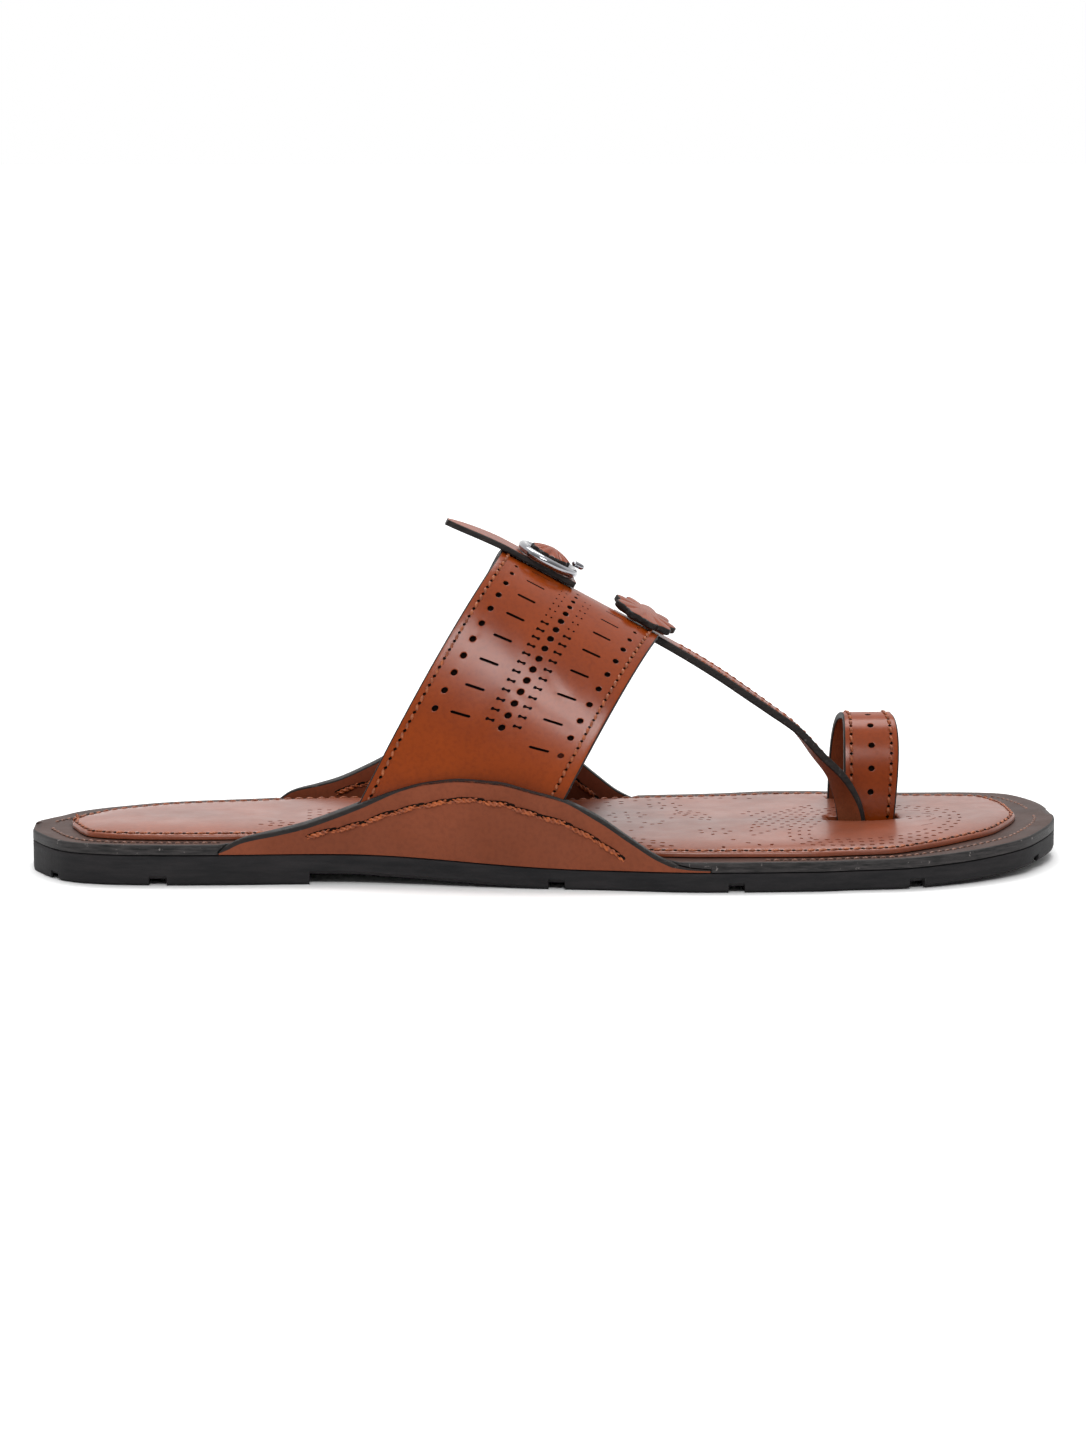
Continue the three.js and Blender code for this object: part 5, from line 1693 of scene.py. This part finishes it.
def sew_toe_strap():
    edge, run, side, up, width = toe_strap_stations()
    rows = []
    for share in STRAP_SEAMS:
        across = STRAP_SEAM_INSET + share * (width - 2 * STRAP_SEAM_INSET)
        line = edge + side * across[:, None] + up * TOE_STRAP / 2
        first = round(STRAP_RINGS * STRAP_SEAM_FROM)
        rows.append(sew(line[first:], up[first:], SEAM_PITCH))
    add_beads("toe_strap_stitches", rows, stitch_thread, "band_leather", *STRAP_STITCH,
              droop=0.3, slant=0.2)
    # Flat dark marks between the stitches: painted shade of the needle holes.
    add_beads("toe_strap_needle_hole_shade", [moved(row, along=SEAM_PITCH / 2) for row in rows],
              painted_cut_shade, "band_leather", *STRAP_HOLE_SHADE, droop=0, sink=0.04)


sew_toe_strap()

# %% [markdown]
# ## Side flaps
# A flap is two layers of leather glued together, with an open pocket between them where the
# band's foot goes down. The wall and its foot under the midsole are one loft, with edge paint
# along the rim that is wide on the slopes and narrow on top.

# %% Shape of the side flaps
FLAP_STATIONS, FLAP_BENDS = 130, 4
FLAP_ROUND = 0.5
FLAP_FACE_ROWS = (0, 0.2, 0.45, 0.7, 0.9, 1)
PAINT_NARROW, PAINT_WIDE = 0.04, {OUTER: 1.3, INNER: 0.25}


def paint_width(side, x):
    """Height of the painted band under the flap's top edge, wide on its slopes."""
    slope = 1 - smoothstep(follow(FLAP, "rise", along_flap(side, x)), 0.62, 0.95)
    return blend_between(PAINT_NARROW, PAINT_WIDE[side], slope)


def flap_rings(side):
    xs = np.linspace(*flap_range(side), FLAP_STATIONS + 1)
    base = midsole_z(xs)
    rise = flap_rise(side, xs)
    wall = flap_wall_width(side, xs)
    flange = np.maximum(flange_width(side, xs), wall + 0.1)
    outer = edge_y(side, xs)
    crest = base + rise
    round_edge = np.minimum(FLAP_ROUND, rise * 0.2)
    paint = np.minimum(paint_width(side, xs), rise * 0.5)
    rows = [(np.zeros_like(xs), base + (rise - paint) * s) for s in FLAP_FACE_ROWS]
    bends = np.linspace(0, math.pi / 2, FLAP_BENDS)
    rows += [(round_edge * (1 - math.cos(b)), crest - round_edge * (1 - math.sin(b)))
             for b in bends]
    rows += [(wall - round_edge * (1 - math.cos(b)), crest - round_edge * (1 - math.sin(b)))
             for b in bends[::-1]]
    rows += [(wall, base + rise * 0.6), (wall, base + np.minimum(FLAP_LAYER, rise * 0.45))]
    rows += [(flange, base + np.minimum(FLAP_LAYER, rise * 0.4)), (flange, base)]
    points = []
    for inset, z in rows:
        lean = FLAP_LEAN * (z - base)
        points.append(np.column_stack([xs, outer - side * (inset + lean), z]))
    return np.stack(points, 1)


def on_flap(side, x, below, inset=0.0):
    """Points of the flap's outer face, at a distance below its top edge."""
    z = midsole_z(x) + flap_rise(side, x) - below
    lean = FLAP_LEAN * (z - midsole_z(x))
    return np.column_stack([x, edge_y(side, x) - side * (inset + lean), z])


print("highest point of the outer flap:", flap_rings(OUTER)[..., 2].max().round(1))

# %% [markdown]
# ## Pockets of the flaps
# The two layers could be modelled apart, but they follow the band's curve closely on both
# sides of it. So a copy of the band, larger by the gap, is cut out of the flap once, and the
# cutter is deleted.

# %% Pockets of the flaps
POCKET_SHARP, INNER_FACE_ROWS = 35, 2


def band_cutter():
    """A closed copy of the band that is larger by the gap."""
    turns = np.linspace(0, math.pi, 120)
    shares = np.linspace(0, 1, 9)
    over = np.stack([band_point(turns, share, -GAP, GAP) for share in shares], 1)
    under = np.stack([band_point(turns, share, BAND_LEATHER + GAP, GAP) for share in shares], 1)
    rings = np.concatenate([over, under[:, ::-1]], 1)
    return add_mesh("band_cutter", rings, closed_loft(rings))


def cut_out(piece, cutter):
    modifier = piece.modifiers.new("pocket", "BOOLEAN")
    modifier.operation, modifier.solver, modifier.object = "DIFFERENCE", "EXACT", cutter
    bpy.context.view_layer.update()
    shape = piece.evaluated_get(bpy.context.evaluated_depsgraph_get())
    mesh = bpy.data.meshes.new_from_object(shape)
    piece.modifiers.clear()
    piece.data = mesh
    mesh.shade_smooth()
    mesh.set_sharp_from_angle(angle=math.radians(POCKET_SHARP))


def make_flap(side, cutter):
    name = "side_flap_" + SIDE_NAMES[side]
    rings = flap_rings(side)
    faces = closed_loft(rings)
    columns = rings.shape[1]
    face_end = len(FLAP_FACE_ROWS) - 1
    rim_end = face_end + 2 * FLAP_BENDS
    looks = []
    for face in faces[:-2]:
        column = face[0] % columns
        if column < face_end or rim_end <= column < rim_end + INNER_FACE_ROWS:
            looks.append(0)
        else:
            looks.append(1 if column < rim_end else 2)
    looks += [1, 1]
    # Look 2, the foot of the flap, takes the lighter copy of the flap leather: painted light.
    piece = add_piece(name + "_leather", rings, faces, [flap_leather, edge_paint, flap_foot_painted_light],
                      [name], face_looks=looks)
    cut_out(piece, cutter)
    return piece


cutter = band_cutter()
flaps = {side: make_flap(side, cutter) for side in (OUTER, INNER)}
bpy.data.objects.remove(cutter)

# %% [markdown]
# ## Rope seam of the flaps
# Thick thread of two plies runs along each flap in long stitches. Just above the rope lies a flat
# dark strip, which is a painted shadow of the rope. At each end the thread goes down through a
# hole, shown as a flat dark mark of painted shade, and a short bight shows there. The seam follows
# the rim at a distance that a table gives.

# %% Stitches of the flaps
FLAP_SEAM = table(("along", "below"), [
    (75, 3.5), (80, 3.9), (92, 5.5), (109, 5.9), (117, 5.3), (134, 5.8), (150, 6.5), (160, 6.9),
])
INNER_SEAM_SHIFT, ROPE_PITCH, LINING_SEAM_AT = 8, 8.6, 120.0
ROPE_HOLE_SHADE, ROPE_SHADOW_STRIP = (2.5, 1.15, 0.14), (7.5, 1.0, 0.12)
ROPE, BIGHT = (6.9, 1.35, 1.2), (2.9, 0.8, 0.6)
ROPE_SLANT, ROPE_LOOSE = 0.07, 0.03


def flap_seam(side, inset=0.0):
    """Line of the seam on the flap's outer face, or on its inner face with an inset."""
    x = np.linspace(FLAP_SEAM[0]["along"], FLAP_SEAM[-1]["along"], 160)
    below = follow(FLAP_SEAM, "below", x)
    shift = 0 if side == OUTER else INNER_SEAM_SHIFT * (1 - (x - x[0]) / (x[-1] - x[0]))
    points = on_flap(side, x + shift, below, inset)
    way = -1 if inset else 1
    run = np.gradient(points, axis=0)
    normals = unit(np.cross(run, np.tile((0.0, 0.0, 1.0), (len(x), 1))))
    normals *= np.sign(normals[:, 1:2]) * side * way
    return points, normals


def sew_flap(side, face, inset):
    name = "flap_" + SIDE_NAMES[side] + "_" + face
    points, normals = flap_seam(side, inset)
    row = sew(points, normals, ROPE_PITCH)
    up = np.sign(np.cross(row[2], row[1])[:, 2:].mean())
    ends = moved(row, along=ROPE_PITCH / 2, across=0.2 * up)
    # Flat dark marks where the rope goes down through the leather: painted shade of its holes.
    add_beads(name + "_rope_hole_shade", [ends], painted_shade_black, "flap_leather", *ROPE_HOLE_SHADE,
              droop=0, sink=0.04, loose=ROPE_LOOSE)
    # A flat dark strip just above the rope: painted shadow of the rope.
    add_beads(name + "_painted_rope_shadow", [moved(row, across=0.35 * up)], painted_shade_black, "flap_leather",
              *ROPE_SHADOW_STRIP, droop=0, sink=0.05, slant=ROPE_SLANT * up, loose=ROPE_LOOSE)
    add_beads(name + "_rope", [row], rope_thread, "flap_leather", *ROPE, droop=0.4,
              sink=0.15, plies=2, twist=2.2, slant=ROPE_SLANT * up, loose=ROPE_LOOSE)
    add_beads(name + "_bights", [moved(ends, across=-0.5 * up)], rope_thread, "flap_leather",
              *BIGHT, droop=0.25, sink=0.2, plies=2, twist=1, loose=0.04)


for side in (OUTER, INNER):
    sew_flap(side, "outside", 0.0)
sew_flap(INNER, "inside", flap_wall_width(INNER, np.array([LINING_SEAM_AT]))[0])

# %% [markdown]
# ## Buckle
# A short strap lies along the crest. Its tail stands off behind, a thick bright ring lies on
# it, and a scalloped piece of leather comes up through the ring. The strap has the toe strap's
# section. Its rings are close together at the round tip, where the width falls as an ellipse.

# %% Buckle strap
TIP_RINGS, STRAIGHT_RINGS = 24, 30
STRAIGHT_FROM, STRAIGHT_TO, TAIL_ROUND = 1.06, 2.4, 0.45


def make_buckle_strap():
    rear, front = -BUCKLE_SHARE * BAND_WIDTH, RING_LENGTH / 2
    tip = 1 - np.cos(np.linspace(0, math.pi / 2, TIP_RINGS))
    shares = np.concatenate([tip, np.linspace(STRAIGHT_FROM, STRAIGHT_TO, STRAIGHT_RINGS)])
    forward = rear - TAIL_LENGTH + np.minimum(shares, 1) * TAIL_LENGTH
    forward = forward + np.maximum(shares - 1, 0) / (STRAIGHT_TO - 1) * (front - rear)
    past = np.maximum(0, rear - forward) / TAIL_LENGTH
    lift = GAP + BUCKLE_STRAP / 2 - TAIL_DROOP * past ** TAIL_CURVE
    section, kinds = rounded_section(BUCKLE_STRAP_WIDTH, BUCKLE_STRAP, TAIL_ROUND, columns=8)
    narrow = np.minimum(past, TAIL_TIP)
    share = section[None, :, 0] / BUCKLE_STRAP_WIDTH - 0.5
    across = BUCKLE_STRAP_WIDTH * np.sqrt(1 - narrow ** 2)[:, None] * share
    rings = on_crest(buckle_place, forward[:, None], across, lift[:, None] + section[None, :, 1])
    faces = closed_loft(rings)
    looks = [kinds[face[0] % len(kinds)] for face in faces[:-2]] + [1, 1]
    return add_piece("buckle_strap_leather", rings, faces,
                     [band_leather, edge_paint, flesh_leather],
                     ["buckle_strap"], face_looks=looks)


buckle_strap = make_buckle_strap()

# %% [markdown]
# ## Ring and prong
# The ring is thick round wire, bent to an oval with full corners. A torus primitive has a
# circle's path only, so a round section is carried along a superellipse instead. The prong is
# a short pin with round ends that lies over the ring's front.

# %% Ring and prong
RING_LIFT = GAP + BUCKLE_STRAP + GAP + RING_WIRE / 2
PRONG_LIFT = RING_LIFT + RING_WIRE / 2 + GAP + PRONG / 2
WIRE_STEPS, WIRE_SIDES = 96, 20


def make_ring():
    half_length, half_width = (RING_LENGTH - RING_WIRE) / 2, (RING_WIDTH - RING_WIRE) / 2
    turns = np.arange(WIRE_STEPS) * 2 * math.pi / WIRE_STEPS

    def at(turn):
        c, s = np.cos(turn), np.sin(turn)
        power = 2 / RING_POWER
        return (half_length * np.sign(c) * np.abs(c) ** power,
                half_width * np.sign(s) * np.abs(s) ** power)

    here = np.stack(at(turns), -1)
    run = np.stack(at(turns + 0.02), -1) - np.stack(at(turns - 0.02), -1)
    run /= np.linalg.norm(run, axis=1, keepdims=True)
    side = np.column_stack([run[:, 1], -run[:, 0]])
    spin = np.arange(WIRE_SIDES) * 2 * math.pi / WIRE_SIDES
    flat = here[:, None] + side[:, None] * np.cos(spin)[None, :, None] * RING_WIRE / 2
    out = RING_LIFT + np.broadcast_to(np.sin(spin) * RING_WIRE / 2, flat.shape[:2])
    rings = on_crest(buckle_place, flat[..., 0], flat[..., 1], out)
    faces = grid_faces(WIRE_STEPS, WIRE_SIDES, True, True)
    return add_piece("ring", rings, faces, [bright], ["buckle_ring"], sharp=180)


def make_prong():
    start = ROSETTE_LENGTH / 2 * (1 + SCALLOP_DEPTH) + GAP
    end = RING_LENGTH / 2 + PRONG / 2
    bends = np.linspace(0, math.pi, 9)
    length = end - start - PRONG
    along = np.concatenate([start + PRONG / 2 * (1 - np.cos(bends[:5])),
                            start + PRONG / 2 + length + PRONG / 2 * -np.cos(bends[4:])])
    radius = np.concatenate([np.sin(bends[:5]), np.sin(bends[4:])]) * PRONG / 2
    radius = np.maximum(radius, 0.02)
    spin = np.arange(16) * 2 * math.pi / 16
    rings = on_crest(buckle_place, along[:, None], radius[:, None] * np.cos(spin),
                     PRONG_LIFT + radius[:, None] * np.sin(spin))
    return add_piece("prong", rings, closed_loft(rings), [bright],
                     ["buckle_prong"], sharp=180)


ring = make_ring()
prong = make_prong()

# %% [markdown]
# ## Rosettes
# The piece in the ring and the tab at the band's front edge are small discs of leather with a
# scalloped rim, shallow veins from the middle to each notch, and a domed face. Both come from
# one function: rings of points grow from the middle to the rim and come back under it to a
# short stem.

# %% Rosettes
DISC_TURNS = 144
VEIN_DEPTH = 0.22


def scalloped_disc(name, place, length, width, lift, stem_at, node, dome=ROSETTE_DOME, under=0.0):
    """A disc on a stem; dome is the rise of its face and under the fullness of its back."""
    turns = np.arange(DISC_TURNS) * 2 * math.pi / DISC_TURNS
    rim = 1 + SCALLOP_DEPTH * np.cos(SCALLOPS * turns)
    on_band_low = GAP + math.sin(TAB_ROLL) * STEM_WIDTH / 2
    stem_low = on_band_low if stem_at else 2 * GAP + BUCKLE_STRAP
    rings, looks = [], []

    def add_ring(share, out, look):
        ripple = 1 + (rim - 1) * smoothstep(share, 0.3, 0.8)
        rings.append(on_crest(place, length / 2 * share * ripple * np.cos(turns),
                              width / 2 * share * ripple * np.sin(turns), out))
        looks.append(look)

    def face(share):
        notch = np.maximum(0, -np.cos(SCALLOPS * turns)) ** 3
        vein = VEIN_DEPTH * smoothstep(share, 0.3, 0.7) * notch
        return lift + dome * (1 - share ** 2) + ROSETTE - vein

    for share in (0.03, 0.15, 0.3, 0.42, 0.54, 0.66, 0.78, 0.88, 0.94):
        add_ring(share, face(share), 0)
    for bend in np.linspace(0.3, math.pi / 2, 4):
        share = 1 - 0.05 * (1 - math.sin(bend))
        add_ring(share, face(share) - 0.4 * (1 - math.cos(bend)), 1)
    add_ring(1, lift + 0.3, 1)
    add_ring(0.97, lift, 2)
    add_ring(0.85, lift - under * 0.7, 2)
    hollow = ROSETTE_DOME if under == 0 else 0
    add_ring(0.6, lift + hollow * 0.64 - under, 2)
    for out in (lift + hollow * 0.8 - under, stem_low):
        rings.append(on_crest(place, stem_at + STEM_LENGTH / 2 * np.cos(turns),
                              STEM_WIDTH / 2 * np.sin(turns), out))
        looks.append(2)
    rings = np.array(rings)
    faces = closed_loft(rings)
    face_looks = [looks[face[0] // DISC_TURNS] for face in faces[:-2]] + [0, 2]
    return add_piece(name, rings, faces, [band_leather, edge_paint, flesh_leather],
                     [node], face_looks=face_looks)


buckle_rosette = scalloped_disc("rosette_in_ring", buckle_place, ROSETTE_LENGTH, ROSETTE_WIDTH,
                                RING_LIFT, 0, "buckle_rosette", dome=1.7)
front_rosette = scalloped_disc("front_tab", tab_place, TAB_LENGTH, TAB_WIDTH, GAP + TAB_LIFT,
                               -STEM_LENGTH / 2, "front_rosette", under=0.8)

# %% [markdown]
# ## Camera
# The camera stands low at the sandal's outer side, a metre away, as for a shop photograph. A
# long lens keeps the sole nearly flat in the picture. Its turn, height and target were found
# from the ends and the top of the sandal in the picture.

# %% Camera
CAMERA_AZIMUTH, CAMERA_HEIGHT, CAMERA_DISTANCE = math.radians(-3.3), math.radians(9.5), 1000
CAMERA_TARGET = np.array([142.24, 8.83, 37.0])
FRAME_HEIGHT, FOCUS_PIXELS, SENSOR = 1448, 3550, 36


def add_camera():
    back = np.array([math.sin(CAMERA_AZIMUTH) * math.cos(CAMERA_HEIGHT),
                     -math.cos(CAMERA_AZIMUTH) * math.cos(CAMERA_HEIGHT),
                     math.sin(CAMERA_HEIGHT)])
    target = (CAMERA_TARGET + SHIFT) * MM
    data = bpy.data.cameras.new("camera")
    data.lens = FOCUS_PIXELS / FRAME_HEIGHT * SENSOR
    data.sensor_width = SENSOR
    data.clip_start = 0.05
    camera = bpy.data.objects.new("camera", data)
    camera.location = target + back * CAMERA_DISTANCE * MM
    camera.rotation_euler = Vector(-back).to_track_quat("-Z", "Y").to_euler()
    bpy.context.scene.collection.objects.link(camera)
    bpy.context.scene.camera = camera
    return camera


camera = add_camera()
print("camera at:", [round(value, 3) for value in camera.location])

# %% [markdown]
# ## Light and floor
# The room is white behind the sandal and straight above it, and dimmer where the camera
# stands, so the black sole stays black. A broad light from above and behind models the form,
# and a soft box above the camera gives the gloss on the band. The floor is white and glows more
# the further away it is, so it stays white to the horizon and still takes a soft shadow.

# %% Light and floor
FLOOR_SIZE = 40.0
GLOW_FROM, GLOW_TO, FLOOR_GLOW = 0.35, 2.0, 0.6
WORLD_STOPS = {
    "Y": [(-1, 0.26), (-0.3, 0.4), (0.3, 1.0)],
    "Z": [(0.7, 0.2), (0.85, 1.0)],
}


def add_floor():
    material, tree, shader = new_material("white_floor")
    shader.inputs["Base Color"].default_value = (0.95, 0.95, 0.95, 1)
    shader.inputs["Roughness"].default_value = 0.9
    shader.inputs["Specular IOR Level"].default_value = 0.1
    shader.inputs["Emission Color"].default_value = (1, 1, 1, 1)
    where = add_node(tree, "ShaderNodeTexCoord")
    away = add_node(tree, "ShaderNodeVectorMath", operation="LENGTH")
    glow = add_node(tree, "ShaderNodeMapRange")
    glow.inputs["From Min"].default_value = GLOW_FROM
    glow.inputs["From Max"].default_value = GLOW_TO
    glow.inputs["To Max"].default_value = FLOOR_GLOW
    tree.links.new(where.outputs["Object"], away.inputs["Vector"])
    tree.links.new(away.outputs["Value"], glow.inputs["Value"])
    tree.links.new(glow.outputs["Result"], shader.inputs["Emission Strength"])
    half = FLOOR_SIZE / 2
    mesh = bpy.data.meshes.new("floor")
    mesh.from_pydata([(-half, -half, 0), (half, -half, 0), (half, half, 0), (-half, half, 0)],
                     [], [(0, 1, 2, 3)])
    mesh.materials.append(material)
    floor = bpy.data.objects.new("floor", mesh)
    bpy.context.scene.collection.objects.link(floor)
    return floor


def add_area(name, place, aim, size, power):
    """A rectangular light; place and aim are in metres."""
    data = bpy.data.lights.new(name, "AREA")
    data.shape, data.size, data.size_y = "RECTANGLE", size[0], size[1]
    data.energy = power
    light = bpy.data.objects.new(name, data)
    light.location = place
    light.rotation_euler = (Vector(place) - Vector(aim)).to_track_quat("Z", "Y").to_euler()
    bpy.context.scene.collection.objects.link(light)
    return light


def add_world():
    """A white wall behind the sandal, a white ceiling, and a dimmer room at the front."""
    world = bpy.data.worlds.new("studio")
    world.use_nodes = True
    tree = world.node_tree
    direction = add_node(tree, "ShaderNodeTexCoord")
    parts = add_node(tree, "ShaderNodeSeparateXYZ")
    tree.links.new(direction.outputs["Generated"], parts.inputs["Vector"])
    level = None
    for axis, stops in WORLD_STOPS.items():
        spread = add_node(tree, "ShaderNodeMapRange")
        spread.inputs["From Min"].default_value = -1
        tree.links.new(parts.outputs[axis], spread.inputs["Value"])
        ramp = add_ramp(tree, spread.outputs["Result"], [((at + 1) / 2, grey(v)) for at, v in stops])
        if level is None:
            level = ramp
            continue
        brighter = add_node(tree, "ShaderNodeMix", data_type="RGBA", blend_type="LIGHTEN")
        brighter.inputs["Factor"].default_value = 1.0
        tree.links.new(level, brighter.inputs["A"])
        tree.links.new(ramp, brighter.inputs["B"])
        level = brighter.outputs["Result"]
    tree.links.new(level, tree.nodes["Background"].inputs["Color"])
    tree.nodes["Background"].inputs["Strength"].default_value = 1.0
    bpy.context.scene.world = world


floor = add_floor()
overhead = add_area("overhead", (0.0, 0.55, 1.4), (0, 0, 0), (1.2, 0.8), 16)
softbox = add_area("softbox", (-0.02, -0.75, 0.68), (0, -0.03, 0.05), (0.42, 0.22), 4.0)
add_world()
print("lights:", overhead.name, softbox.name)
bpy.context.scene.view_settings.view_transform = "Standard"
